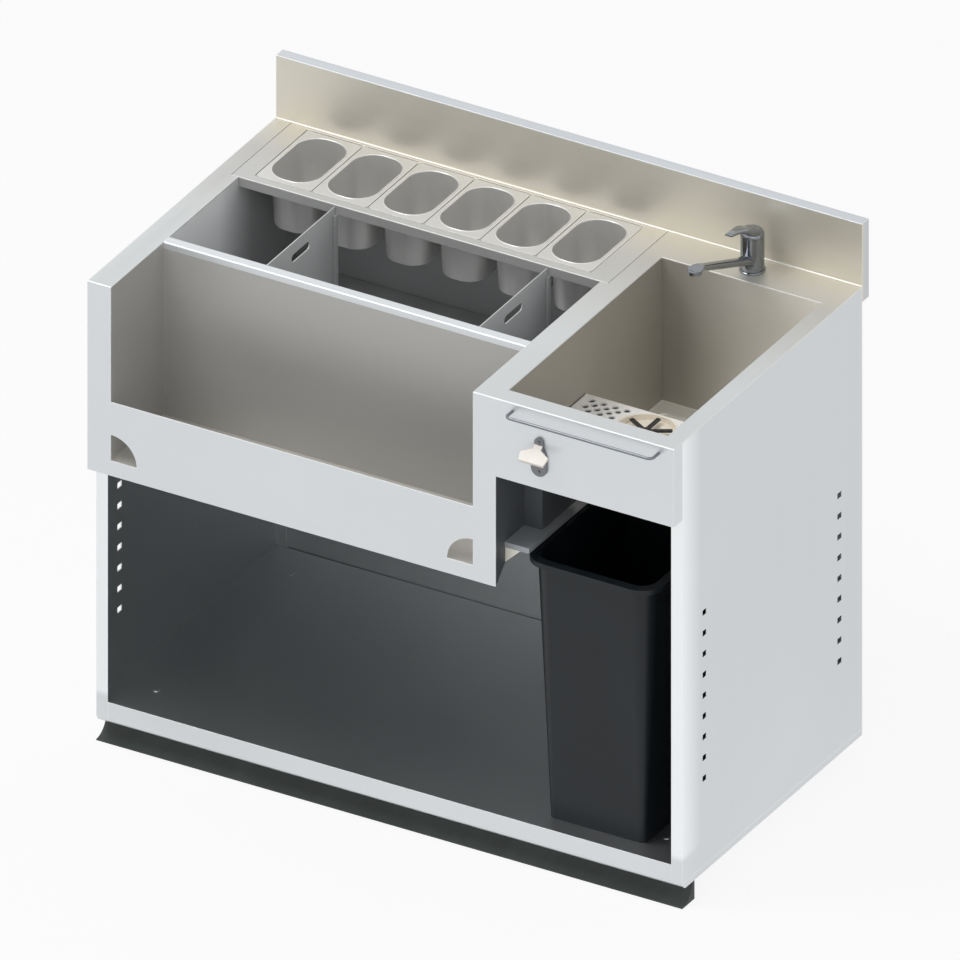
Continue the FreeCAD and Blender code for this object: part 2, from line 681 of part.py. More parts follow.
def insulation():
    """The foam jacket round the tank."""
    piece = Piece("insulation")
    wall = D.gauge
    outer = box(D.well_left - D.foam_side, D.well_back + wall,
                WELL_RIGHT + D.foam_side, REAR_STILE)
    piece.pad("z", FOAM_BOTTOM, D.deck_height - D.foam_gap - FOAM_BOTTOM, [outer])
    tank = box(D.well_left - wall, BIN_FRONT - wall, WELL_RIGHT + wall, BIN_BACK + wall)
    piece.pocket("z", BIN_FLOOR - wall, D.bin_depth, [tank])
    piece.pocket("z", FOAM_BOTTOM, D.foam_below, [Circle(DRAIN_X, DRAIN_Y, D.drain_outer)])


def tank_casing():
    """The tray under the insulation, flanged against the module's side."""
    piece = Piece("tank_casing")
    wall = D.gauge
    back = REAR_STILE
    left = D.well_left - D.foam_side - wall
    outline = box(left, D.well_back + wall, MODULE_INNER, back)
    piece.pad("z", FOAM_BOTTOM - wall, wall, [outline])
    piece.pad("x", left, wall, [box(D.well_back + wall, FOAM_BOTTOM - wall, back,
                                    FOAM_BOTTOM + D.skirt_lip)])
    piece.pad("x", MODULE_INNER - wall, wall, [box(D.well_back + wall, FOAM_BOTTOM - wall, back,
                                                   FOAM_BOTTOM + D.skirt_lip)])
    drain = Circle(DRAIN_X, DRAIN_Y, D.drain_outer)
    piece.pocket("z", FOAM_BOTTOM - wall, wall, [drain])


def ice_drain():
    """The threaded drain in the tank's floor."""
    piece = Piece("ice_drain", DRAIN_X, DRAIN_Y, BIN_FLOOR)
    wall = D.gauge
    step = -D.foam_below - 3 * wall
    piece.turn([
        (D.drain_bore, -D.drain_drop), (D.drain_thread, -D.drain_drop), (D.drain_thread, step),
        (D.drain_outer, step), (D.drain_outer, 0),
        (D.drain_flange, 0), (D.drain_flange, wall), (D.drain_bore + wall, wall), (D.drain_bore, 0)])


def ice_false_bottom():
    """The lift-out perforated plate that keeps the ice out of its melt water."""
    gap = D.false_bottom_gap
    wall = D.gauge
    left = D.well_left + gap
    right = WELL_RIGHT - gap
    front = BIN_FRONT + gap
    back = BIN_BACK - gap
    piece = Piece("ice_false_bottom")
    piece.pad("z", FALSE_BOTTOM - wall, wall, [box(left, front, right, back)])
    legs = [box(front, BIN_FLOOR, front + wall, FALSE_BOTTOM),
            box(back - wall, BIN_FLOOR, back, FALSE_BOTTOM)]
    piece.pad("x", left, right - left, legs)
    pitch = D.melt_hole_pitch
    columns = int((right - left - pitch / 2).value // pitch.value)
    rows = int((back - front - pitch / 2).value // pitch.value)
    middle_x = (left + right) / 2
    middle_y = (front + back) / 2
    holes = []
    for column in range(columns):
        for line in range(rows):
            x = middle_x + (column - (columns - 1) / 2) * pitch
            y = middle_y + (line - (rows - 1) / 2) * pitch
            holes.append(Circle(x, y, D.melt_hole_radius))
    piece.pocket("z", FALSE_BOTTOM - wall, wall, holes)


def ice_divider(label, x):
    """A lift-out divider with a finger slot, folded stiff along its top."""
    gap = D.divider_gap
    wall = D.gauge
    top = D.deck_height - D.divider_top_gap
    front = BIN_FRONT + gap
    back = FRAME_FRONT - gap
    middle = (front + back) / 2
    piece = Piece(label, x)
    outline = box(front, FALSE_BOTTOM, back, top)
    grip_height = D.skirt_lip
    grip = round_box(middle - 2 * grip_height, top - 2.5 * grip_height,
                     middle + 2 * grip_height, top - 1.5 * grip_height, grip_height / 2.1)
    piece.pad("x", -wall / 2, wall, [outline, grip])


def divider_guides():
    """Four channels: two on the tank's front wall and two under the pan frame's flange."""
    members = []
    depth = D.guide_depth
    half = D.guide_width / 2
    slot = D.gauge / 2 + D.divider_gap
    bottom = D.deck_height - D.frame_flange - D.guide_height
    front = BIN_FRONT
    ribs = [box(slot, front, half, front + depth), box(-half, front, -slot, front + depth)]
    nose = FRAME_FRONT - depth
    web = FRAME_FRONT + D.gauge
    channel = Loop([(slot, nose), (half, nose), (half, web), (-half, web), (-half, nose),
                    (-slot, nose), (-slot, FRAME_FRONT), (slot, FRAME_FRONT)])
    for x in (DIVIDER_LEFT, DIVIDER_RIGHT):
        for outlines in (ribs, [channel]):
            piece = Piece("guide", x, 0, 0, node=False)
            piece.pad("z", bottom, D.guide_height, outlines)
            members.append(piece.body)
    return members


# ---------------------------------------------------------------- pans

def pan_frame():
    """The frame that carries the pans, with a round-nosed front flange and an inner ledge."""
    piece = Piece("pan_frame")
    gap = D.pan_gap
    plate = box(D.frame_left, FRAME_FRONT, FRAME_RIGHT, D.deck_depth)
    mouth = box(D.pans_left - gap, PANS_FRONT - gap, PANS_RIGHT + gap, PANS_BACK + gap)
    piece.pad("z", DECK_UNDER, D.gauge, [plate, mouth])
    ledge = D.pan_ledge
    weld = D.ledge_weld
    rim = box(D.pans_left - weld, PANS_FRONT - weld, PANS_RIGHT + weld, PANS_BACK + weld)
    seat = box(D.pans_left + ledge, PANS_FRONT + ledge, PANS_RIGHT - ledge, PANS_BACK - ledge)
    piece.pad("z", DECK_UNDER - D.gauge, D.gauge, [rim, seat])
    inset = D.divider_gap
    flange = box(D.well_left + inset, D.deck_height - D.frame_flange, WELL_RIGHT - inset, D.deck_height)
    piece.pad("y", FRAME_FRONT, D.gauge, [flange])
    piece.soften(D.fold_round, lambda edge: lies(edge, y=FRAME_FRONT, z=D.deck_height))


def garnish_pan(number):
    """One ninth-size pan: a flat flange round a long round-cornered mouth."""
    x = D.pans_left + (number - 0.5) * D.pan_pitch
    y = PANS_FRONT + D.pan_length / 2
    piece = Piece(f"garnish_pan_{number}", x, y, DECK_UNDER)
    wall = D.pan_gauge
    flange = centred(D.pan_pitch - 2 * D.pan_gap, D.pan_length - 2 * D.pan_gap, 4 * wall)
    piece.pad("z", 0, wall, [flange])
    mouth_width = D.pan_pitch - 2 * D.pan_side_flange
    mouth_length = D.pan_length - 2 * D.pan_end_flange
    lean = 2 * D.pan_taper
    bottom = centred(mouth_width - lean + 2 * wall, mouth_length - lean + 2 * wall,
                     D.pan_corner - D.pan_taper + wall)
    depth = D.pan_depth - wall
    piece.pad("z", -depth, depth, [bottom], D.pan_taper)
    inner_bottom = centred(mouth_width - lean, mouth_length - lean, D.pan_corner - D.pan_taper)
    piece.pocket("z", wall - depth, depth, [inner_bottom], D.pan_taper)


# ---------------------------------------------------------------- sink

def sink_bowl():
    """The welded basin: a shallow shelf for the rinser, then a deep basin with a pressed sump."""
    piece = Piece("sink_bowl")
    wall = D.gauge
    left = SINK_LEFT
    front = D.sink_front
    middle = D.shelf_back
    back = SINK_BACK
    side = Loop([
        (front - wall, SHELF_FLOOR - wall), (middle - wall, SHELF_FLOOR - wall),
        (middle - wall, SINK_FLOOR - wall), (back + wall, SINK_FLOOR - wall),
        (back + wall, DECK_UNDER), (front - wall, DECK_UNDER)])
    piece.pad("x", left - wall, D.sink_width + 2 * wall, [side])
    hollow = Loop([
        (front, SHELF_FLOOR), (middle, SHELF_FLOOR), (middle, SINK_FLOOR), (back, SINK_FLOOR),
        (back, D.deck_height), (front, D.deck_height)])
    piece.pocket("x", left, D.sink_width, [hollow])
    margin = D.sump_margin
    sump = (left + margin, middle + margin, SINK_RIGHT - margin, back - D.sump_back_margin)
    grown = (sump[0] - wall, sump[1] - wall, sump[2] + wall, sump[3] + wall)
    piece.pad("z", SUMP_FLOOR - wall, D.sump_depth, [round_box(*grown, D.sump_margin)])
    piece.pocket("z", SUMP_FLOOR, D.sump_depth, [round_box(*sump, D.sump_margin)])
    piece.pocket("z", SUMP_FLOOR - wall, wall, [Circle(WASTE_X, WASTE_Y, D.waste_outer)])
    valve_hole = D.valve_radius + D.valve_gap
    piece.pocket("z", SHELF_FLOOR - wall, wall, [Circle(RINSER_X, RINSER_Y, valve_hole)])


def sink_waste():
    """The sink's waste: a dished flange with a threaded tail."""
    piece = Piece("sink_waste", WASTE_X, WASTE_Y, SUMP_FLOOR)
    wall = D.gauge
    collar = D.waste_outer + 4 * wall
    piece.turn([
        (D.waste_bore, -D.waste_drop), (D.waste_outer, -D.waste_drop), (D.waste_outer, -6 * wall),
        (collar, -6 * wall), (collar, -wall), (D.waste_outer, -wall), (D.waste_outer, 0),
        (D.waste_flange, 0), (D.waste_flange - wall, wall), (D.waste_bore + wall, wall),
        (D.waste_bore, 0)])


def waste_strainer():
    """The lift-out cup strainer in the waste, with a knob."""
    piece = Piece("waste_strainer", WASTE_X, WASTE_Y, SUMP_FLOOR + D.gauge)
    wall = D.pan_gauge
    cup = D.waste_bore - wall
    knob = D.star_stem
    piece.turn([
        (0, -8 * wall), (cup, -8 * wall), (cup, 0), (D.waste_flange - 4 * wall, 0),
        (D.waste_flange - 5 * wall, wall), (cup - wall, wall), (cup - wall, -7 * wall),
        (knob / 2, -7 * wall), (knob / 2, 2 * wall), (knob, 3 * wall), (knob, 5 * wall), (0, 5 * wall)])
    ring = (cup + knob / 2) / 2
    holes = [Circle(ring.value * math.cos(math.tau * turn / 6), ring.value * math.sin(math.tau * turn / 6), wall)
             for turn in range(6)]
    piece.pocket("z", -9 * wall, 3 * wall, holes)


def rinser_tray():
    """The perforated tray over the shelf, folded down at its front and back."""
    piece = Piece("rinser_tray")
    gap = D.tray_gap
    wall = D.gauge
    left = SINK_LEFT + gap
    right = SINK_RIGHT - gap
    front = D.sink_front + gap
    back = D.shelf_back
    dish = Circle(RINSER_X, RINSER_Y, D.dish_radius - wall)
    piece.pad("z", TRAY_TOP - wall, wall, [box(left, front, right, back), dish])
    legs = [box(front, SHELF_FLOOR, front + wall, TRAY_TOP), box(back - wall, SHELF_FLOOR, back, TRAY_TOP)]
    piece.pad("x", left, right - left, legs)
    # staggered rows of holes, left of the dish and towards the front
    holes = []
    rows = int((back - front).value // D.tray_row_pitch.value) - 3
    for row_number in range(rows):
        y = back - 17.5 - row_number * D.tray_row_pitch
        shift = (row_number % 2) / 2
        for column in range(4):
            x = SINK_LEFT + D.tray_first_hole + (column + shift) * D.tray_hole_pitch
            edge_gap = math.hypot(x.value - RINSER_X.value, y.value - RINSER_Y.value)
            if edge_gap < D.dish_radius.value + 2 * D.tray_hole_radius.value:
                continue
            if column == 3 and shift:
                continue
            holes.append(Circle(x, y, D.tray_hole_radius))
    piece.pocket("z", TRAY_TOP - wall, wall, holes)


def rinser_dish():
    """The flat-bottomed dish that the star sits in, hung in the tray by its rim."""
    piece = Piece("rinser_dish", RINSER_X, RINSER_Y, TRAY_TOP)
    wall = D.pan_gauge
    rim = D.dish_radius
    side = rim - 1.5 * D.gauge
    collar = D.valve_radius + D.valve_gap
    bottom = wall - D.dish_depth
    piece.turn([
        (collar, -D.dish_depth), (side - wall, -D.dish_depth), (side, bottom), (side, 0), (rim, 0),
        (rim - wall / 2, wall), (side - wall, wall), (side - wall, bottom), (collar, bottom)])


def rinser_valve():
    """The spring valve under the star, with its inlet tail."""
    piece = Piece("rinser_valve", RINSER_X, RINSER_Y, TRAY_TOP)
    bore = D.star_stem + D.stem_clearance
    top = D.pan_gauge - D.dish_depth
    shelf = D.valve_length + D.dish_depth
    foot = -D.dish_depth - 2 * D.valve_radius
    piece.turn([
        (0, -shelf), (D.inlet_radius, -shelf), (D.inlet_radius, foot),
        (D.valve_radius, foot), (D.valve_radius, top),
        (bore, top), (bore, top - D.valve_radius), (0, top - D.valve_radius)])


def rinser_star():
    """The six-armed spray star that a glass presses down."""
    top = TRAY_TOP + D.star_lift
    piece = Piece("rinser_star", RINSER_X, RINSER_Y, top, D.star_turn)
    half = D.star_width / 2
    piece.pad("z", -D.star_thickness, D.star_thickness, [Circle(0, 0, D.star_width)])
    arm = piece.pad("z", -D.star_thickness, D.star_thickness, [box(0, -half, D.star_reach, half)])
    arms = piece.feature("PolarPattern", "arms")
    arms.Originals = [arm]
    arms.Axis = (piece.origin("Z_Axis"), [""])
    arms.Angle = 360
    arms.Occurrences = 6
    stem_foot = D.pan_gauge - D.dish_depth - D.star_lift - D.valve_radius / 3
    piece.pad("z", stem_foot, -stem_foot, [Circle(0, 0, D.star_stem)])


# ---------------------------------------------------------------- towel rail and bottle opener

def towel_rail():
    """The bent wire rail in front of the sink."""
    piece = Piece("towel_rail", 0, 0, D.deck_height - D.rail_drop)
    reach = -D.rail_reach
    bend = D.rail_bend
    path = piece.sketch("z", 0, [Loop([
        (RAIL_LEFT, 0), (RAIL_LEFT, reach + bend, bend), (RAIL_LEFT + bend, reach),
        (RAIL_RIGHT - bend, reach, bend), (RAIL_RIGHT, reach + bend), (RAIL_RIGHT, 0)],
        closed=False)])
    section = piece.sketch("y", 0, [Circle(RAIL_LEFT, 0, D.rail_radius)])
    rail = piece.feature("AdditivePipe", "wire")
    rail.Profile = section
    rail.Spine = (path, [f"Edge{number}" for number in range(1, 6)])


def opener_plate():
    """The opener's back plate: a tongue above, a lobe below, a screw hole in each."""
    piece = Piece("opener_plate", OPENER_X, 0, D.deck_height - D.opener_top)
    neck = D.opener_neck / 2
    lobe = D.opener_lobe / 2
    height = D.opener_height
    lobe_centre = lobe - height
    plate = Loop([
        (neck, -neck), (neck, -height / 4), (lobe, -height / 2), (lobe, lobe_centre, -lobe),
        (0, -height, -lobe), (-lobe, lobe_centre), (-lobe, -height / 2), (-neck, -height / 4),
        (-neck, -neck, -neck), (0, 0, -neck)])
    screws = [Circle(0, drop, D.opener_screw_bore) for drop in (-neck, neck - height)]
    piece.pad("y", -D.opener_plate, D.opener_plate, [plate] + screws)


def opener_hood():
    """The opener's sloping hood: a short neck, broad shoulders and a straight pry lip."""
    piece = Piece("opener_hood", OPENER_X, 0, D.deck_height - D.opener_top)
    root = -D.opener_plate
    reach = -D.opener_reach
    top = -D.hood_drop
    lip = top - D.hood_fall
    wall = D.hood_wall
    widest = D.hood_width / 2
    piece.pad("x", -widest, D.hood_width, [Loop([
        (root, top), (root, top - wall), (reach, lip - wall), (reach, lip)])])
    # everything beside the hood's plan is cut away
    neck = D.hood_neck / 2
    clear = D.hood_width
    for side in (1, -1):
        piece.pocket("z", -D.opener_height, D.opener_height, [Loop([
            (side * neck, D.opener_plate), (side * neck, -D.hood_neck_reach),
            (side * widest, -D.hood_width_reach), (side * D.hood_lip / 2, reach),
            (side * D.hood_lip / 2, 2 * reach), (side * clear, 2 * reach),
            (side * clear, D.opener_plate)])])


def opener_screws():
    """The two raised-head screws of the opener."""
    members = []
    neck = D.opener_neck / 2
    shank = D.opener_screw_bore - D.turn_gap / 4
    for drop in (neck, D.opener_height - neck):
        piece = Piece("opener_screw", OPENER_X, 0, D.deck_height - D.opener_top - drop, node=False)
        piece.pad("y", -D.opener_plate, D.opener_plate, [Circle(0, 0, shank)])
        piece.pad("y", -1.4 * D.opener_plate, 0.4 * D.opener_plate, [Circle(0, 0, 1.5 * shank)])
        members.append(piece.body)
    return members


# ---------------------------------------------------------------- cabinet

def cabinet_side(label, x, inward):
    """A folded cabinet side with two rows of shelf slots. inward is 1 on the left, -1 on the right."""
    piece = Piece(label, x)
    wall = D.gauge
    front = D.cabinet_front
    back = BACK_SHEET
    low = 0 if inward > 0 else -wall
    piece.pad("x", low, wall, [box(front, D.rail_bottom, back, DECK_UNDER)])
    stile = box(0, D.rail_bottom, inward * D.stile_width, DECK_UNDER)
    piece.pad("y", front, wall, [stile])
    rear_stile = box(0, D.rail_bottom, inward * D.stile_width, D.deck_height - D.upstand_drop)
    piece.pad("y", REAR_STILE, wall, [rear_stile])
    slots = []
    count = int((SKIRT_BOTTOM - D.slot_base).value // D.slot_pitch.value) + 1
    for row_y in (front + D.slot_inset, back - D.slot_inset):
        for number in range(count):
            z = D.slot_base + number * D.slot_pitch
            slots.append(box(row_y - D.slot_width / 2, z - D.slot_height / 2,
                             row_y + D.slot_width / 2, z + D.slot_height / 2))
    piece.pocket("x", low, wall, slots)


def cabinet_floor():
    """The cabinet's bottom with its folded front rail."""
    piece = Piece("cabinet_floor")
    wall = D.gauge
    front = D.cabinet_front
    piece.pad("z", D.floor_height - wall, wall, [box(wall, front + wall, WIDTH - wall, BACK_SHEET - wall)])
    piece.pad("y", front, wall, [box(D.stile_width, D.rail_bottom, WIDTH - D.stile_width, D.floor_height)])


def base_frame():
    """The folded frame under the cabinet, rolled under along its front edge."""
    piece = Piece("base_frame")
    wall = D.gauge
    bar = D.base_bar
    low = D.base_height
    top = D.rail_bottom
    front = D.cabinet_front + D.base_setback
    back = BACK_SHEET
    roll = top - low - wall
    fold = top - wall
    sheet = box(0, front + roll, WIDTH, back)
    opening = box(bar, front + bar, WIDTH - bar, back - bar)
    piece.pad("z", fold, wall, [sheet, opening])
    piece.pad("x", 0, WIDTH, [Loop([
        (front, top), (front, fold, roll), (front + roll, low), (front + 2 * roll, low),
        (front + 2 * roll, low + wall), (front + roll, low + wall, wall - roll),
        (front + wall, fold), (front + roll, fold), (front + roll, top)])])
    piece.pad("y", back - wall, wall, [box(0, low, WIDTH, fold)])
    end = Loop([(front, fold, roll), (front + roll, low), (back, low), (back, fold)])
    for x in (0, WIDTH - wall):
        piece.pad("x", x, wall, [end])


def cabinet_back():
    """The back sheet."""
    piece = Piece("cabinet_back")
    piece.pad("y", BACK_SHEET, D.gauge, [box(0, D.base_height, WIDTH, DECK_UNDER)])


def plinth():
    """The coved plinth."""
    piece = Piece("plinth")
    toe = D.plinth_front
    radius = D.base_height - D.toe_height
    piece.pad("x", 0, WIDTH, [Loop([
        (toe, 0), (D.plinth_back, 0), (D.plinth_back, D.base_height),
        (toe + radius, D.base_height, -radius), (toe, D.toe_height)])])


def feet_places():
    """Where the four feet stand."""
    return [(x, y) for x in (D.foot_inset_x, WIDTH - D.foot_inset_x)
            for y in (D.cabinet_front + D.foot_inset_y, BACK_SHEET - D.foot_inset_y)]


def levelling_feet():
    """Four screw feet under the base frame."""
    members = []
    for x, y in feet_places():
        piece = Piece("foot", x, y, 0, node=False)
        pad = D.base_height / 4
        top = D.rail_bottom - D.gauge
        nut = D.foot_stem * 1.3
        piece.turn([
            (0, 0), (D.foot_radius, 0), (D.foot_radius, pad / 2), (nut, pad),
            (nut, 2 * pad), (D.foot_stem, 2 * pad), (D.foot_stem, top), (0, top)])
        members.append(piece.body)
    return members


def floor_plugs():
    """The domed plugs over the feet's bolts, on the cabinet's floor."""
    members = []
    radius = D.plug_radius
    height = D.plug_height
    dome = (radius * radius + height * height) / (2 * height)
    for x, y in feet_places():
        piece = Piece("plug", x, y, D.floor_height, node=False)
        piece.turn([(0, 0), (radius, 0, dome), (0, height)])
        members.append(piece.body)
    return members


def duct_shelf():
    """The ledge on the module's side, on a gusset."""
    piece = Piece("duct_shelf")
    x = MODULE_WIDTH
    front = D.cabinet_front
    top = D.ledge_height
    under = top - D.ledge_thickness
    piece.pad("z", under, D.ledge_thickness, [box(x, front, x + D.ledge_width, front + D.ledge_length)])
    leg = D.gusset_size
    for y in (front + D.gauge, front + D.ledge_length - 2 * D.gauge):
        piece.pad("y", y, D.gauge, [Loop([(x, under), (x, under - leg), (x + leg, under)])])


def service_duct():
    """The box that houses the valves and pipes beside the waste bin."""
    piece = Piece("service_duct")
    x = MODULE_WIDTH
    front = D.cabinet_front + D.duct_start
    back = D.cabinet_front + D.ledge_length
    outer = box(x, front, x + D.duct_width, back)
    height = SHELF_FLOOR - D.gauge - D.ledge_height
    piece.pad("z", D.ledge_height, height, [outer])
    inner = box(x + D.gauge, front + D.gauge, x + D.duct_width - D.gauge, back)
    piece.pocket("z", D.ledge_height, height, [inner])


# ---------------------------------------------------------------- mixer tap

def tap_base():
    """The tap's foot, with the pillar that the body turns on."""
    piece = Piece("tap_base", TAP_X, TAP_Y, D.deck_height)
    edge = D.tap_foot / 4
    piece.turn([
        (0, 0), (D.tap_flange, 0), (D.tap_flange, D.tap_foot - edge),
        (D.tap_flange - edge, D.tap_foot), (D.pillar_radius, D.tap_foot),
        (D.pillar_radius, D.pillar_height), (0, D.pillar_height)])


def tap_shank():
    """The threaded shank through the deck, with its washer and nut."""
    piece = Piece("tap_shank", TAP_X, TAP_Y, D.deck_height)
    wall = D.gauge
    nut = -wall - D.nut_height
    piece.turn([
        (0, -D.shank_length), (D.shank_radius, -D.shank_length), (D.shank_radius, nut),
        (D.nut_radius - wall, nut), (D.nut_radius, nut + wall), (D.nut_radius, -wall),
        (D.shank_radius, -wall), (D.shank_radius, 0), (0, 0)])


def tap_inlets():
    """The hot and cold inlet tails under the shank."""
    members = []
    spread = D.inlet_radius + D.divider_gap + 1
    for side in (-1, 1):
        piece = Piece("inlet", TAP_X + side * spread, TAP_Y, D.deck_height - D.shank_length, node=False)
        length = 2 * D.shank_length
        tail = D.inlet_radius - D.divider_gap
        piece.turn([
            (0, -length), (tail, -length), (tail, -length + 3 * tail), (tail * 0.8, -length + 3.2 * tail),
            (tail * 0.8, 0), (0, 0)])
        members.append(piece.body)
    return members


def spout_middle(reach):
    """Height of the spout's middle line at a reach from the tap's axis."""
    return D.spout_height + D.spout_rise * reach


LEAF_TOP = spout_middle(D.leaf_reach) + D.spout_depth / 2
OUTLET_MOUTH = LEAF_TOP - D.outlet_length


def tap_spout():
    """The tap's body, which turns on the pillar, with the rising spout drawn out of it."""
    piece = Piece("tap_spout", TAP_X, TAP_Y, D.deck_height, D.tap_direction)
    radius = D.tap_radius
    low = D.tap_foot + D.turn_gap
    piece.pad("z", low, D.body_top - low, [Circle(0, 0, radius)])
    width = D.spout_width
    depth = D.spout_depth
    leaf = D.leaf_reach
    outlet = D.outlet_reach
    mouth = D.outlet_radius
    # the root is flared into the body, and the end levels out and widens over the outlet
    sections = [
        (radius / 2, 1.5 * width, 1.9 * depth, spout_middle(radius / 2) - depth / 6),
        (1.1 * radius, 1.35 * width, 1.35 * depth, spout_middle(1.1 * radius)),
        (2 * radius, 1.1 * width, 1.1 * depth, spout_middle(2 * radius)),
        (leaf - width, width, depth, spout_middle(leaf - width)),
        (leaf, 1.6 * mouth, 0.8 * depth, LEAF_TOP - 0.4 * depth),
        (outlet, 2.1 * mouth, 1.1 * depth, LEAF_TOP - depth / 12),
        (D.spout_reach, 1.8 * mouth, depth / 2, LEAF_TOP - depth / 12)]
    piece.loft("x", [
        (place_x, centred(wide, deep, deep / 2.2, middle))
        for place_x, wide, deep, middle in sections], ruled=True)
    # the leaf is cut flat, and the outlet stands out a little before it
    clear = 2 * depth
    piece.pocket("y", -2 * mouth, 4 * mouth, [box(leaf, LEAF_TOP, D.spout_reach + mouth, LEAF_TOP + clear)])
    piece.pad("z", OUTLET_MOUTH, D.outlet_length - depth / 12, [Circle(outlet, 0, mouth)])
    piece.pocket("z", OUTLET_MOUTH - depth / 2, depth / 2, [Circle(outlet, 0, mouth)])
    piece.pocket("z", low, D.pillar_height + D.turn_gap - low, [
        Circle(0, 0, D.pillar_radius + D.pillar_clearance)])
    piece.pocket("z", OUTLET_MOUTH, D.aerator_depth, [Circle(outlet, 0, D.aerator_radius)])


def tap_aerator():
    """The aerator in the outlet: a ring that stands a little proud, with its screen."""
    piece = Piece("tap_aerator", TAP_X, TAP_Y, D.deck_height + OUTLET_MOUTH, D.tap_direction)
    radius = D.aerator_radius
    bore = radius - D.gauge
    centre = D.outlet_reach
    lip = D.gauge / 2
    piece.pad("z", -lip, lip + D.aerator_depth, [Circle(centre, 0, radius), Circle(centre, 0, bore)])
    piece.pad("z", 0, D.gauge, [Circle(centre, 0, bore)])


def tap_cartridge():
    """The head of the cartridge, which turns with the lever."""
    piece = Piece("tap_cartridge", TAP_X, TAP_Y, D.deck_height + D.body_top, D.tap_direction)
    radius = D.tap_radius - 2 * D.cap_wall
    piece.pad("z", 0, D.cap_wall, [Circle(0, 0, radius)])
    piece.pad("z", 0, 2 * D.cap_wall, [Circle(0, 0, radius / 2)])


def tap_lever():
    """The lever: a round cap over the cartridge, drawn out forwards and up into a thin blade."""
    base = D.body_top + D.turn_gap
    piece = Piece("tap_lever", TAP_X, TAP_Y, D.deck_height, D.tap_direction)
    radius = D.tap_radius
    round_over = D.cap_round
    top = base + D.cap_height
    shoulder = top - round_over
    piece.turn([(0, base), (radius, base), (radius, shoulder, round_over),
                (radius - round_over, top), (0, top)])
    # the blade's sections: share of the reach, width, thickness and height of the top line
    tip = D.lever_tip_height
    climb = tip - top
    tip_width = D.lever_tip_width
    sections = [
        (-0.08, 1.3 * radius, 0.7 * round_over, 0.02),
        (0.08, 1.8 * radius, 1.1 * round_over, 0.16),
        (0.22, 1.75 * radius, 1.35 * round_over, 0.40),
        (0.45, 1.35 * radius, 0.9 * round_over, 0.70),
        (0.70, 1.25 * tip_width, 0.5 * round_over, 0.90),
        (1.00, tip_width, 0.2 * round_over, 1)]
    piece.loft("x", [
        (D.lever_reach * share, centred(wide, deep, deep / 2.1, top + climb * height - deep / 2))
        for share, wide, deep, height in sections])
    piece.pocket("z", base, D.cap_height / 2, [Circle(0, 0, radius - D.cap_wall)])


# ---------------------------------------------------------------- waste bin

def waste_bin():
    """The tapered waste bin, open at the top, with a turned-down rim."""
    width = D.waste_bin_width
    length = D.waste_bin_length
    rim = D.waste_bin_rim
    corner = D.waste_bin_corner
    lean = D.waste_bin_taper
    wall = D.waste_bin_wall
    height = D.waste_bin_height
    piece = Piece("waste_bin", TAP_X, D.waste_bin_front + length / 2, D.floor_height)
    mouth_width = width - 2 * rim
    mouth_length = length - 2 * rim
    foot_width = mouth_width - 2 * lean
    foot_length = mouth_length - 2 * lean
    foot = centred(foot_width, foot_length, corner - lean)
    piece.pad("z", 0, height, [foot], lean)
    # the rim: a flat flange with a lip turned down
    drop = D.waste_bin_rim_height
    edge = centred(width, length, corner + rim)
    lip = centred(width - wall, length - wall, corner + rim - wall / 2)
    inside = centred(mouth_width - rim, mouth_length - rim, corner - rim / 2)
    piece.pad("z", height - wall, wall, [edge, inside])
    piece.pad("z", height - drop, drop, [edge, lip])
    hollow = centred(foot_width - 2 * wall, foot_length - 2 * wall, corner - lean - wall)
    piece.pocket("z", wall, height - wall, [hollow], lean)


# ---------------------------------------------------------------- build

front_panel()
left_deck()
sink_deck()
backsplash()
module_side()
well_liner()
bin_rim()
ice_liner()
insulation()
tank_casing()
ice_drain()
ice_false_bottom()
ice_divider("ice_divider_left", DIVIDER_LEFT)
ice_divider("ice_divider_right", DIVIDER_RIGHT)
group("divider_guides", divider_guides())
pan_frame()
for pan_number in range(1, PAN_COUNT + 1):
    garnish_pan(pan_number)
sink_bowl()
sink_waste()
waste_strainer()
rinser_tray()
rinser_dish()
rinser_valve()
rinser_star()
towel_rail()
opener_plate()
opener_hood()
group("opener_screws", opener_screws())
cabinet_side("cabinet_side_left", 0, 1)
cabinet_side("cabinet_side_right", WIDTH, -1)
cabinet_floor()
base_frame()
cabinet_back()
plinth()
group("levelling_feet", levelling_feet())
group("floor_plugs", floor_plugs())
duct_shelf()
service_duct()
tap_base()
tap_shank()
group("tap_inlets", tap_inlets())
tap_spout()
tap_aerator()
tap_cartridge()
tap_lever()
waste_bin()

doc.recompute()

# Nothing is written unless every object is sound and every cut has taken something away.
failed = [thing.Label for thing in doc.Objects
          if "Invalid" in thing.State or "Error" in thing.State]
if failed:
    raise ValueError("failed: " + ", ".join(failed))
idle = [after.Label for before, after in CUTS
        if after.Shape.Volume >= before.Shape.Volume - 1e-6]
if idle:
    raise ValueError("cut nothing: " + ", ".join(idle))
unsound = [node.Label for node in NODES if node.Shape.isNull() or not node.Shape.isValid()]
if unsound:
    raise ValueError("no sound shape: " + ", ".join(unsound))
for node in NODES:
    node.Shape.exportStep(f"parts/{node.Label}.step")
print(len(NODES), "nodes")
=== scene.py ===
import json
import math

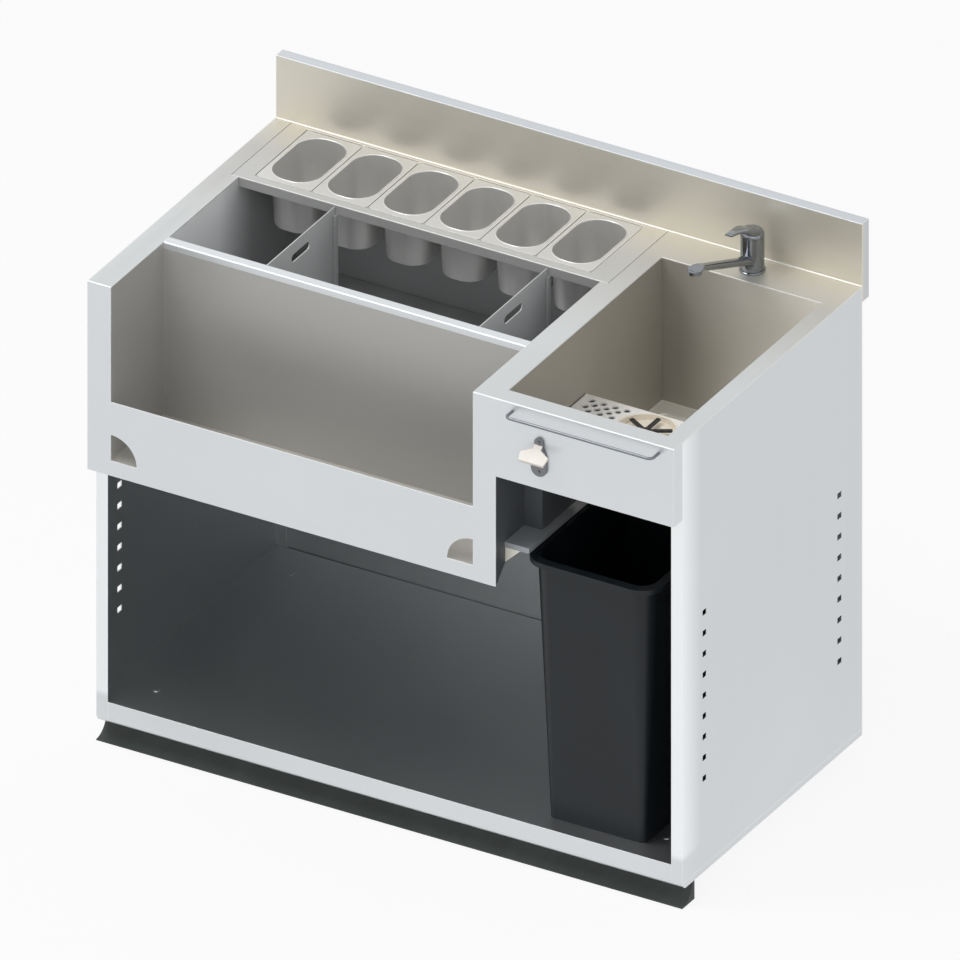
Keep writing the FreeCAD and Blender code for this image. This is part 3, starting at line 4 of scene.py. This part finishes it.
import bmesh
import bpy
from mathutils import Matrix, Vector


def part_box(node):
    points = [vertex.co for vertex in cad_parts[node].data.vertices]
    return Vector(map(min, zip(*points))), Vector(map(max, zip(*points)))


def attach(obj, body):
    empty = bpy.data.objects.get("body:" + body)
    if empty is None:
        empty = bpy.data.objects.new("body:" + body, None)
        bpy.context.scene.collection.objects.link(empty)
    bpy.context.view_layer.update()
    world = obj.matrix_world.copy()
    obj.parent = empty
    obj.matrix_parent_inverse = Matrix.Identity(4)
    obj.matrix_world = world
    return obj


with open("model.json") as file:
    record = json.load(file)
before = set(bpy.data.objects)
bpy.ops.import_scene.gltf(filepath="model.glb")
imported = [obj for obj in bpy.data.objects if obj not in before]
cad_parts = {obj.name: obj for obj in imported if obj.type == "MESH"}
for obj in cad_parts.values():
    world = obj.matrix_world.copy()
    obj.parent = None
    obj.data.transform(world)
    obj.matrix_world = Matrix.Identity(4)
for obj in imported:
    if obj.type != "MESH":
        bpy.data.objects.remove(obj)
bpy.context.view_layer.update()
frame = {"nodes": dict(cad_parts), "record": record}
nodes = frame["nodes"]

MM = 0.001

# ---------------------------------------------------------------- materials

# How fast a noise changes along each axis of the frame: the slow axis is the grain's direction.
ALONG_X = (1.5, 260, 260)
ALONG_Z = (260, 260, 1.5)
EVEN = (180, 180, 180)
UNSTRETCHED = (1, 1, 1)
SCUFFS = (1, 1, 0.35)

# Where a noise is taken to be low and high: its values lie round one half.
NOISE_LOW, NOISE_HIGH = 0.3, 0.7

# The sockets of a mix node, for numbers and for colours.
NUMBER_A, NUMBER_B, NUMBER_OUT = 2, 3, 0
COLOUR_A, COLOUR_B, COLOUR_OUT = 6, 7, 2

# Painted shade in narrow joints and corners: its tone, its share, and how far the occlusion looks.
JOINT_SHADE = (0.03, 0.03, 0.03)
JOINT_SHADE_SHARE = 0.5
JOINT_SHADE_REACH = 4 * MM
SHELTERED, OPEN = 0.2, 0.5
# Painted highlight on sharp folds: its tone, how far the edge reaches, and the sharp and flat
# limits.
FOLD_HIGHLIGHT = (0.97, 0.97, 0.96)
FOLD_RADIUS = 2.2 * MM
FOLD_SHARP, FOLD_FLAT = 0.86, 0.99
EDGE_SAMPLES = 6
# The cabinet's middle, and how far a face must look towards it, for the painted shade inside the
# cabinet.
CABINET_MIDDLE = (0.0, 0.0, 0.4)
FACING_IN = -0.02


class Nodes:
    """A material's node tree, with short ways to add and join nodes."""

    def __init__(self, name):
        self.material = bpy.data.materials.new(name)
        self.material.use_nodes = True
        self.tree = self.material.node_tree
        self.shader = self.tree.nodes["Principled BSDF"]

    def add(self, kind, **values):
        """A new node. Each value goes to the socket or the setting of that name."""
        node = self.tree.nodes.new("ShaderNode" + kind)
        for key, value in values.items():
            if key in node.inputs:
                node.inputs[key].default_value = value
            else:
                setattr(node, key, value)
        return node

    def join(self, output, target):
        self.tree.links.new(output, target)

    def set(self, **values):
        """Constants on the shader's own sockets."""
        for key, value in values.items():
            self.shader.inputs[key.replace("_", " ")].default_value = value

    def place(self, scale):
        """Object coordinates, stretched by a scale along each axis."""
        where = self.add("TexCoord")
        mapping = self.add("Mapping", Scale=scale)
        self.join(where.outputs["Object"], mapping.inputs["Vector"])
        return mapping.outputs["Vector"]

    def along(self, axis):
        """A point's place along one axis of the frame, in metres."""
        where = self.add("TexCoord")
        split = self.add("SeparateXYZ")
        self.join(where.outputs["Object"], split.inputs[0])
        return split.outputs[axis]

    def noise(self, scale, detail=4.0, roughness=0.6, stretch=UNSTRETCHED):
        texture = self.add("TexNoise", Scale=scale, Detail=detail, Roughness=roughness)
        self.join(self.place(stretch), texture.inputs["Vector"])
        return texture.outputs["Fac"]

    def between(self, factor, low, high, start=NOISE_LOW, end=NOISE_HIGH):
        """A number that runs from low to high as a factor runs from start to end."""
        ramp = self.add("MapRange")
        for socket, value in (("From Min", start), ("From Max", end),
                              ("To Min", low), ("To Max", high)):
            ramp.inputs[socket].default_value = value
        self.join(factor, ramp.inputs["Value"])
        return ramp.outputs["Result"]

    def tones(self, factor, first, second, start=NOISE_LOW, end=NOISE_HIGH):
        """A colour between two tones, as a factor runs from start to end."""
        ramp = self.add("ValToRGB")
        for stop, position, tone in zip(ramp.color_ramp.elements, (start, end), (first, second)):
            stop.position = position
            stop.color = (*tone, 1)
        self.join(factor, ramp.inputs["Fac"])
        return ramp.outputs["Color"]

    def around(self, factor, colour, spread):
        """A colour that varies by a share to either side."""
        return self.tones(factor, shade(colour, 1 - spread), shade(colour, 1 + spread))

    def total(self, first, second):
        """The sum of two numbers."""
        add = self.add("Math", operation="ADD")
        self.join(first, add.inputs[0])
        self.join(second, add.inputs[1])
        return add.outputs[0]

    def blend(self, factor, first, second):
        """Two colours mixed by a factor. The second may be a plain tone."""
        mix = self.add("Mix", data_type="RGBA")
        self.join(factor, mix.inputs["Factor"])
        self.join(first, mix.inputs[COLOUR_A])
        if isinstance(second, tuple):
            mix.inputs[COLOUR_B].default_value = (*second, 1)
        else:
            self.join(second, mix.inputs[COLOUR_B])
        return mix.outputs[COLOUR_OUT]

    def inner(self):
        """1 on faces that look towards the middle of the cabinet, 0 on the others: the faces that
        get painted shade.
        """
        where = self.add("TexCoord")
        offset = self.add("VectorMath", operation="SUBTRACT")
        offset.inputs[1].default_value = CABINET_MIDDLE
        self.join(where.outputs["Object"], offset.inputs[0])
        facing = self.add("VectorMath", operation="DOT_PRODUCT")
        self.join(offset.outputs["Vector"], facing.inputs[0])
        self.join(where.outputs["Normal"], facing.inputs[1])
        return self.between(facing.outputs["Value"], 1.0, 0.0, FACING_IN, 0.0)

    def fold_highlights(self, amount):
        """Painted highlight: rises to an amount along sharp edges, where a fold would catch the
        light.
        """
        bevel = self.add("Bevel", samples=EDGE_SAMPLES, Radius=FOLD_RADIUS)
        flat = self.add("NewGeometry")
        turn = self.add("VectorMath", operation="DOT_PRODUCT")
        self.join(bevel.outputs["Normal"], turn.inputs[0])
        self.join(flat.outputs["True Normal"], turn.inputs[1])
        return self.between(turn.outputs["Value"], amount, 0.0, FOLD_SHARP, FOLD_FLAT)

    def joint_shade(self, colour):
        """Painted shade: darkens a colour in narrow joints and corners, where little light
        reaches.
        """
        shelter = self.add("AmbientOcclusion", samples=EDGE_SAMPLES, Distance=JOINT_SHADE_REACH)
        share = self.between(shelter.outputs["AO"], JOINT_SHADE_SHARE, 0.0, SHELTERED, OPEN)
        return self.blend(share, colour, JOINT_SHADE)

    def relief(self, height, depth, strength, edge=None):
        """Bump from a height, over softened edges if a radius is given."""
        bump = self.add("Bump", Strength=strength, Distance=depth)
        self.join(height, bump.inputs["Height"])
        if edge:
            bevel = self.add("Bevel", samples=EDGE_SAMPLES, Radius=edge)
            self.join(bevel.outputs["Normal"], bump.inputs["Normal"])
        self.join(bump.outputs["Normal"], self.shader.inputs["Normal"])


def shade(colour, amount):
    """A colour made lighter or darker, never lighter than white."""
    return tuple(min(1.0, part * amount) for part in colour)


BRUSHED_EDGE = 1.2 * MM
BRUSHED_DEPTH = 0.04 * MM
LINE_SHARE = 0.35
SMEAR_ROUGHNESS = 0.05
SMEAR_DEPTH = 0.01 * MM


def steel(name, colour, rough=(0.30, 0.42), grain=ALONG_X, cloud=0.03, metal=0.7, turns=(),
          inner=None, edge_highlight=0.0, shade_joints=False):
    """Brushed sheet: fine lines along the grain's slow axis, cloudy patches, painted highlights on
    sharp fold edges.

    Each turn is (axis, start, end, colour): from start to end along that axis of the frame
    the tone changes to that colour, which paints light and shade. The colour for faces inside the
    cabinet is painted shade, sharp fold edges get a painted highlight of the amount given, and the
    joint option paints shade into narrow joints and corners.
    """
    m = Nodes(name)
    lines = m.noise(scale=1.0, detail=3.0, roughness=0.7, stretch=grain)
    patches = m.noise(scale=3.0, detail=3.0, roughness=0.5)
    mix = m.add("Mix", data_type="FLOAT")
    mix.inputs["Factor"].default_value = LINE_SHARE
    m.join(patches, mix.inputs[NUMBER_A])
    m.join(lines, mix.inputs[NUMBER_B])
    cloudiness = mix.outputs[NUMBER_OUT]
    tone = m.around(cloudiness, colour, cloud)
    # Painted light and shade, changing along an axis.
    for axis, start, end, far in turns:
        far_tone = m.around(cloudiness, far, cloud)
        tone = m.blend(m.between(m.along(axis), 0.0, 1.0, start, end), tone, far_tone)
    # Painted shade on faces inside the cabinet.
    if inner:
        tone = m.blend(m.inner(), tone, m.around(cloudiness, inner, cloud))
    # Painted highlight along sharp fold edges.
    if edge_highlight:
        tone = m.blend(m.fold_highlights(edge_highlight), tone, FOLD_HIGHLIGHT)
    # Painted shade in narrow joints and corners.
    if edge_highlight or shade_joints:
        tone = m.joint_shade(tone)
    m.join(tone, m.shader.inputs["Base Color"])
    smears = m.between(patches, 0.0, SMEAR_ROUGHNESS, start=0.35, end=0.65)
    m.join(m.total(m.between(lines, *rough), smears), m.shader.inputs["Roughness"])
    m.set(Metallic=metal, Anisotropic=0.3)
    m.relief(lines, BRUSHED_DEPTH, strength=0.35, edge=BRUSHED_EDGE)
    return m.material


def polished(name, colour, rough, edge=0.5 * MM, metal=1.0):
    """Polished metal with faint smears."""
    m = Nodes(name)
    smears = m.noise(scale=30.0, detail=4.0, roughness=0.5)
    m.join(m.around(smears, colour, spread=0.04), m.shader.inputs["Base Color"])
    m.join(m.between(smears, *rough), m.shader.inputs["Roughness"])
    m.set(Metallic=metal)
    m.relief(smears, SMEAR_DEPTH, strength=0.2, edge=edge)
    return m.material


SCUFF_TONE = 1.48
MOULDED_DEPTH = 0.08 * MM
MOULDED_EDGE = 0.8 * MM


def plastic(name, colour, rough, grain=900.0, gloss=0.5):
    """Moulded plastic with a fine grain and pale scuffs."""
    m = Nodes(name)
    fine = m.noise(scale=grain, detail=2.0, roughness=0.5)
    marks = m.noise(scale=9.0, detail=6.0, roughness=0.7, stretch=SCUFFS)
    scuffed = m.tones(marks, colour, shade(colour, SCUFF_TONE), start=0.45, end=0.8)
    m.join(scuffed, m.shader.inputs["Base Color"])
    m.join(m.between(fine, *rough), m.shader.inputs["Roughness"])
    m.set(Specular_IOR_Level=gloss)
    m.relief(fine, MOULDED_DEPTH, strength=0.5, edge=MOULDED_EDGE)
    return m.material


CELL_DEPTH = 0.4 * MM
CELL_SHADE = 0.8


def foam(name, colour):
    """Cut foam with open cells."""
    m = Nodes(name)
    cells = m.add("TexVoronoi", Scale=500.0)
    m.join(m.place(UNSTRETCHED), cells.inputs["Vector"])
    cell = cells.outputs["Distance"]
    tone = m.tones(cell, shade(colour, CELL_SHADE), colour, start=0.0, end=0.5)
    m.join(tone, m.shader.inputs["Base Color"])
    m.set(Roughness=0.95)
    m.relief(cell, CELL_DEPTH, strength=0.6)
    return m.material


sink_low, sink_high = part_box("sink_bowl")
well_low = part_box("well_liner")[0]
upstand_low, upstand_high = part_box("backsplash")
ledge_low, ledge_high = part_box("duct_shelf")

# Painted reflection: the deck's tone warms towards the back, for the warm surroundings it
# reflects.
# The upstand's top and the folds behind its face are painted cool again.
DECK_PAINTED_LIGHT = [
    ("Y", -0.10, 0.20, (0.58, 0.575, 0.555)),
    ("Y", 0.22, 0.31, (0.71, 0.68, 0.60)),
    ("Y", upstand_low[1] + 0.006, upstand_low[1] + 0.012, (0.62, 0.645, 0.66)),
    ("Z", upstand_high[2] - 0.0015, upstand_high[2] - 0.0005, (0.62, 0.65, 0.68)),
]
# Painted light: the well's floor is painted paler than its walls, for the light falling on it from
# above.
WELL_PAINTED_LIGHT = [("Z", well_low[2] + 0.005, well_low[2] + 0.003, (0.60, 0.58, 0.54))]
# Painted light and shade: the bin's left wall is painted the palest, and its back wall the
# darkest.
TANK_PAINTED_LIGHT = [
    ("X", well_low[0] + 0.02, well_low[0] + 0.05, (0.62, 0.63, 0.635)),
    ("Y", 0.05, 0.16, (0.42, 0.425, 0.43)),
]
# Painted shade: the cabinet's foot is painted darker than its uprights, and so are its sides
# behind them.
CABINET_PAINTED_SHADE = [
    ("Z", 0.10, 0.088, (0.70, 0.725, 0.74)),
    ("Y", -0.288, -0.22, (0.66, 0.685, 0.70)),
]
# Painted light: the ledge is painted bright at its far end, where light reaches it, and what
# stands under it is painted a bright cream.
LEDGE_PAINTED_LIGHT = [
    ("Y", ledge_low[1] + 0.145, ledge_low[1] + 0.165, (0.96, 0.96, 0.95)),
    ("Z", ledge_high[2] - 0.010, ledge_high[2] - 0.011, (0.98, 0.94, 0.84)),
]
# Painted light and shade: the basin is painted brighter to the right and on its floor, and dark on
# its left wall.
SINK_PAINTED_LIGHT = [
    ("X", sink_low[0] + 0.04, sink_high[0], (1.0, 0.96, 0.89)),
    ("X", sink_low[0] + 0.012, sink_low[0] + 0.003, (0.37, 0.35, 0.31)),
    ("Z", sink_low[2] + 0.0075, sink_low[2] + 0.0065, (1.0, 0.97, 0.90)),
]

finishes = {
    "panel_steel": steel("panel_steel", (0.725, 0.755, 0.775), edge_highlight=0.8),
    "deck_steel": steel("deck_steel", (0.63, 0.655, 0.66), (0.42, 0.52), turns=DECK_PAINTED_LIGHT,
                        edge_highlight=0.65),
    "well_steel": steel("well_steel", (0.48, 0.475, 0.46), (0.36, 0.48), cloud=0.04, metal=0.5,
                        turns=WELL_PAINTED_LIGHT),
    "tank_steel": steel("tank_steel", (0.95, 0.965, 0.98), (0.36, 0.48), metal=0.12,
                        turns=TANK_PAINTED_LIGHT),
    "cabinet_steel": steel("cabinet_steel", (0.92, 0.94, 0.955), (0.34, 0.46), ALONG_Z, metal=1.0,
                           turns=CABINET_PAINTED_SHADE, inner=(0.51, 0.53, 0.54), edge_highlight=0.6),
    # Painted shade: near-black for the service parts that stand in the shade inside the cabinet.
    "service_dark": steel("service_dark", (0.10, 0.11, 0.12), (0.5, 0.6), ALONG_Z, cloud=0.05,
                          metal=0.3),
    "ledge_steel": steel("ledge_steel", (0.38, 0.405, 0.43), (0.4, 0.5), cloud=0.05, metal=0.3,
                         turns=LEDGE_PAINTED_LIGHT),
    "sink_steel": steel("sink_steel", (0.39, 0.37, 0.33), (0.34, 0.46), cloud=0.04, metal=0.3,
                        turns=SINK_PAINTED_LIGHT, shade_joints=True),
    "tray_steel": steel("tray_steel", (0.97, 0.95, 0.92), (0.32, 0.42), EVEN, metal=0.35, edge_highlight=0.8),
    "dish_steel": polished("dish_steel", (0.90, 0.84, 0.73), (0.30, 0.40), metal=0.15),
    "pan_steel": steel("pan_steel", (0.70, 0.695, 0.68), (0.28, 0.38), EVEN, cloud=0.015,
                       metal=0.6, edge_highlight=0.5),
    "foam": foam("foam", (0.80, 0.70, 0.45)),
    "plinth_dark": plastic("plinth_dark", (0.045, 0.053, 0.050), (0.6, 0.75), 500.0),
    "foot_rubber": plastic("foot_rubber", (0.02, 0.02, 0.02), (0.7, 0.85), 700.0),
    "rail_steel": polished("rail_steel", (0.21, 0.22, 0.235), (0.26, 0.34), 1.5 * MM),
    "opener_grey": polished("opener_grey", (0.20, 0.205, 0.215), (0.25, 0.38)),
    "opener_cast": polished("opener_cast", (0.68, 0.655, 0.61), (0.5, 0.6), 0.8 * MM, metal=0.4),
    "brass": polished("brass", (0.70, 0.52, 0.24), (0.22, 0.34)),
    "tap_chrome": polished("tap_chrome", (0.235, 0.25, 0.27), (0.07, 0.13)),
    "star_plastic": plastic("star_plastic", (0.006, 0.006, 0.006), (0.35, 0.5)),
    "bin_plastic": plastic("bin_plastic", (0.006, 0.0095, 0.013), (0.36, 0.48), 700.0, gloss=0.35),
}

for part in frame["record"]["subparts"]:
    node = nodes[part["node"]]
    node.data.materials.clear()
    node.data.materials.append(finishes[part["material_slot"]])

# ---------------------------------------------------------------- pieces made here


def add_piece(name, build, body, slot):
    """A mesh filled by a function that gets its bmesh, put on a body."""
    shape = bmesh.new()
    build(shape)
    bmesh.ops.recalc_face_normals(shape, faces=shape.faces)
    mesh = bpy.data.meshes.new(name)
    shape.to_mesh(mesh)
    shape.free()
    mesh.materials.append(finishes[slot])
    for face in mesh.polygons:
        face.use_smooth = True
    piece = bpy.data.objects.new(name, mesh)
    bpy.context.scene.collection.objects.link(piece)
    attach(piece, body)


def centre(low, high):
    """The middle of a box, seen from above."""
    return ((low[0] + high[0]) / 2, (low[1] + high[1]) / 2)


def round_route(middle, half, radius, steps):
    """Points round a rectangle with round corners."""
    points = []
    for quarter, (side_x, side_y) in enumerate(((1, 1), (-1, 1), (-1, -1), (1, -1))):
        for step in range(steps + 1):
            angle = math.pi / 2 * (quarter + step / steps)
            points.append((middle[0] + side_x * (half[0] - radius) + radius * math.cos(angle),
                           middle[1] + side_y * (half[1] - radius) + radius * math.sin(angle)))
    return points


def circle_route(middle, radius, steps):
    """Points round a circle."""
    return [(middle[0] + radius * math.cos(math.tau * step / steps),
             middle[1] + radius * math.sin(math.tau * step / steps)) for step in range(steps)]


def bead(shape, route, height, radius, sides):
    """A half-round bead along a closed flat route."""
    rings = []
    for number, (x, y) in enumerate(route):
        before = route[number - 1]
        after = route[(number + 1) % len(route)]
        along = Vector((after[0] - before[0], after[1] - before[1])).normalized()
        ring = []
        for side in range(sides + 1):
            angle = math.pi * side / sides
            out = radius * math.cos(angle)
            ring.append(shape.verts.new((x + along.y * out, y - along.x * out,
                                         height + radius * math.sin(angle))))
        rings.append(ring)
    for number, ring in enumerate(rings):
        after = rings[(number + 1) % len(rings)]
        for side in range(sides):
            shape.faces.new((ring[side], after[side], after[side + 1], ring[side + 1]))


def turned(shape, middle, profile, steps):
    """A shape turned about a vertical axis through (radius, height) points, closed at its top."""
    rings = [[shape.verts.new((x, y, height)) for x, y in circle_route(middle, radius, steps)]
             for radius, height in profile]
    for low, high in zip(rings, rings[1:]):
        for step in range(steps):
            after = (step + 1) % steps
            shape.faces.new((low[step], low[after], high[after], high[step]))
    shape.faces.new(rings[-1])


PAN_CLEARANCE = 0.8 * MM
PAN_SIDE_FLANGE = 9 * MM
PAN_END_FLANGE = 13 * MM
PAN_CORNER = 40 * MM
LIP_RADIUS = 1.1 * MM
LIP_STEPS = 10
LIP_SIDES = 4


def pan_lip(shape, low, high):
    """The rolled bead round a pan's mouth."""
    half = ((high[0] - low[0]) / 2 + PAN_CLEARANCE - PAN_SIDE_FLANGE + LIP_RADIUS,
            (high[1] - low[1]) / 2 + PAN_CLEARANCE - PAN_END_FLANGE + LIP_RADIUS)
    route = round_route(centre(low, high), half, PAN_CORNER + LIP_RADIUS, LIP_STEPS)
    bead(shape, route, high[2], LIP_RADIUS, LIP_SIDES)


for number in range(1, 7):
    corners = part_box(f"garnish_pan_{number}")
    add_piece(f"pan_lip_{number}", lambda shape: pan_lip(shape, *corners), f"pan_{number}",
              "pan_steel")

TRAY_CLEARANCE = 2 * MM
HOLE_RADIUS = 4.8 * MM
HOLE_PITCH = 22.5 * MM
ROW_PITCH = 10.7 * MM
FIRST_HOLE = 23 * MM
FIRST_ROW = 17.5 * MM
ROWS_WITHOUT_HOLES = 3
HOLES_IN_LONG_ROW = 4
RIM_RADIUS = 0.9 * MM
RIM_STEPS = 20
RIM_SIDES = 3


def tray_rims(shape):
    """The pressed rim round each of the tray's drain holes, in staggered rows."""
    low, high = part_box("rinser_tray")
    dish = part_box("rinser_dish")
    dish_middle = centre(*dish)
    clear = (dish[1][0] - dish[0][0]) / 2 + 2 * HOLE_RADIUS
    for row in range(int((high[1] - low[1]) / ROW_PITCH) - ROWS_WITHOUT_HOLES):
        shift = row % 2 / 2
        for column in range(HOLES_IN_LONG_ROW - row % 2):
            spot = (low[0] - TRAY_CLEARANCE + FIRST_HOLE + (column + shift) * HOLE_PITCH,
                    high[1] - FIRST_ROW - row * ROW_PITCH)
            if math.dist(spot, dish_middle) >= clear:
                route = circle_route(spot, HOLE_RADIUS + RIM_RADIUS, RIM_STEPS)
                bead(shape, route, high[2], RIM_RADIUS, RIM_SIDES)


add_piece("tray_rims", tray_rims, "station", "tank_steel")

SHEET = 2 * MM
RECESS_MARGIN = 18 * MM
RECESS_BACK_MARGIN = 37 * MM
RECESS_DEPTH = 4 * MM
RECESS_RIM = 1.5 * MM
RECESS_RIB = 24 * MM
RECESS_STEPS = 8
RECESS_SIDES = 4


def recess_rim(shape):
    """The pressed rim round the recess in the basin's floor, and the rib inside it."""
    low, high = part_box("sink_bowl")
    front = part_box("rinser_tray")[1][1]
    floor_height = low[2] + SHEET + RECESS_DEPTH
    left = low[0] + SHEET + RECESS_MARGIN
    right = high[0] - SHEET - RECESS_MARGIN
    near = front + RECESS_MARGIN
    rear = high[1] - SHEET - RECESS_BACK_MARGIN
    middle = ((left + right) / 2, (near + rear) / 2)
    for inset, height in ((-RECESS_RIM, floor_height), (RECESS_RIB, floor_height - RECESS_DEPTH)):
        half = ((right - left) / 2 - inset, (rear - near) / 2 - inset)
        route = round_route(middle, half, RECESS_MARGIN, RECESS_STEPS)
        bead(shape, route, height, RECESS_RIM, RECESS_SIDES)


# Painted highlight: the beads in the basin's floor take the paler tray finish with its painted
# fold highlights, so they show as bright lines.
add_piece("recess_rim", recess_rim, "station", "tray_steel")

STAR_HUB = 8.4 * MM
STAR_ARMS = (30, 90, 150, 210, 270, 330)
DOME_RINGS = 5
DOME_RISE = 0.35
DOME_STEPS = 24
NOZZLE = 1.1 * MM
NOZZLE_STEPS = 10
NOZZLE_SHARES = (0.36, 0.62, 0.88)


def star_details(shape):
    """The star's domed hub and the nozzles along its arms."""
    low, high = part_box("rinser_star")
    middle = centre(low, high)
    top = high[2]
    dome = []
    for ring in range(DOME_RINGS):
        angle = math.pi / 2 * ring / DOME_RINGS
        dome.append((STAR_HUB * math.cos(angle), top + DOME_RISE * STAR_HUB * math.sin(angle)))
    turned(shape, middle, dome, DOME_STEPS)
    nozzle = [(NOZZLE, top), (NOZZLE, top + NOZZLE / 2), (NOZZLE / 2, top + NOZZLE)]
    reach = (high[1] - low[1]) / 2
    for arm in STAR_ARMS:
        for share in NOZZLE_SHARES:
            spot = (middle[0] + reach * share * math.cos(math.radians(arm)),
                    middle[1] + reach * share * math.sin(math.radians(arm)))
            turned(shape, spot, nozzle, NOZZLE_STEPS)


add_piece("star_nozzles", star_details, "star", "star_plastic")

SEAM_WIDTH = 1.0 * MM
SEAM_HEIGHT = 0.15 * MM


def deck_seams(shape):
    """The sealed joints between the deck sheets and the pan frame."""
    low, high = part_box("pan_frame")
    for x in (low[0], high[0]):
        foot = []
        crown = []
        for side, y in ((-1, low[1]), (1, low[1]), (1, high[1]), (-1, high[1])):
            foot.append(shape.verts.new((x + side * SEAM_WIDTH / 2, y, high[2])))
            crown.append(shape.verts.new((x + side * SEAM_WIDTH / 4, y, high[2] + SEAM_HEIGHT)))
        shape.faces.new(crown)
        for side in range(4):
            after = (side + 1) % 4
            shape.faces.new((foot[side], foot[after], crown[after], crown[side]))


add_piece("deck_seams", deck_seams, "station", "foot_rubber")

# ---------------------------------------------------------------- floor, light and camera

FLOOR_HALF = 30.0
FLOOR_DULL = (0.90, 0.90, 0.895)
FLOOR_PALE = (0.92, 0.92, 0.915)
FLOOR_SEEN = 0.9
FLOOR_GLOW_SHARE = 0.97

floor_mesh = bpy.data.meshes.new("floor")
floor_mesh.from_pydata([(side_x * FLOOR_HALF, side_y * FLOOR_HALF, 0)
                        for side_x, side_y in ((-1, -1), (1, -1), (1, 1), (-1, 1))],
                       [], [(0, 1, 2, 3)])
floor = bpy.data.objects.new("floor", floor_mesh)
bpy.context.scene.collection.objects.link(floor)


def floor_finish():
    """Pale floor: it shows the object's shadow, and metal sees it as evenly white."""
    m = Nodes("floor")
    m.join(m.tones(m.noise(scale=6.0), FLOOR_DULL, FLOOR_PALE), m.shader.inputs["Base Color"])
    m.set(Roughness=0.9)
    path = m.add("LightPath")
    glow = m.add("Emission", Strength=1.0)
    seen = m.add("Math", operation="MULTIPLY")
    seen.inputs[1].default_value = FLOOR_SEEN
    m.join(path.outputs["Is Camera Ray"], seen.inputs[0])
    reflected = m.add("Math", operation="MAXIMUM")
    m.join(path.outputs["Is Glossy Ray"], reflected.inputs[0])
    m.join(seen.outputs[0], reflected.inputs[1])
    part_of = m.add("Math", operation="MULTIPLY")
    part_of.inputs[1].default_value = FLOOR_GLOW_SHARE
    m.join(reflected.outputs[0], part_of.inputs[0])
    mix = m.add("MixShader")
    m.join(part_of.outputs[0], mix.inputs["Fac"])
    m.join(m.shader.outputs[0], mix.inputs[1])
    m.join(glow.outputs[0], mix.inputs[2])
    m.join(mix.outputs[0], m.tree.nodes["Material Output"].inputs["Surface"])
    return m.material


floor_mesh.materials.append(floor_finish())

SKY_LIGHT = 0.60
SKY_SEEN = 1.0

world = bpy.data.worlds.new("studio")
bpy.context.scene.world = world
world.use_nodes = True
sky = world.node_tree
background = sky.nodes["Background"]
background.inputs["Color"].default_value = (1, 1, 1, 1)
ray = sky.nodes.new("ShaderNodeLightPath")
direct = sky.nodes.new("ShaderNodeMath")
direct.operation = "MAXIMUM"
sky.links.new(ray.outputs["Is Camera Ray"], direct.inputs[0])
sky.links.new(ray.outputs["Is Glossy Ray"], direct.inputs[1])
level = sky.nodes.new("ShaderNodeMapRange")
level.inputs["To Min"].default_value = SKY_LIGHT
level.inputs["To Max"].default_value = SKY_SEEN
sky.links.new(direct.outputs[0], level.inputs["Value"])
sky.links.new(level.outputs["Result"], background.inputs["Strength"])


OBJECT_MIDDLE = Vector((0, 0, 0.6))


def lamp(name, place, size, power):
    """A square soft box that looks at the object's middle."""
    data = bpy.data.lights.new(name, "AREA")
    data.shape = "SQUARE"
    data.size = size
    data.energy = power
    light = bpy.data.objects.new(name, data)
    light.location = place
    light.rotation_euler = (OBJECT_MIDDLE - Vector(place)).to_track_quat("-Z", "Y").to_euler()
    bpy.context.scene.collection.objects.link(light)


lamp("key", (-1.5, -1.3, 4.1), size=1.8, power=56)
lamp("fill", (2.6, -2.4, 2.4), size=2.6, power=10)

# A parallel view from the front right and above.
AZIMUTH = math.radians(30)
ELEVATION = math.radians(30)
VIEW_WIDTH = 1.6027
CAMERA_DISTANCE = 6.0
AIM = Vector((-0.0544, 0.1160, 0.450))

back = Vector((math.sin(AZIMUTH) * math.cos(ELEVATION),
               -math.cos(AZIMUTH) * math.cos(ELEVATION),
               math.sin(ELEVATION)))
camera_data = bpy.data.cameras.new("camera")
camera_data.type = "ORTHO"
camera_data.ortho_scale = VIEW_WIDTH
camera = bpy.data.objects.new("camera", camera_data)
camera.location = AIM + back * CAMERA_DISTANCE
camera.rotation_euler = (-back).to_track_quat("-Z", "Y").to_euler()
bpy.context.scene.collection.objects.link(camera)
bpy.context.scene.camera = camera
bpy.context.scene.view_settings.view_transform = "Standard"
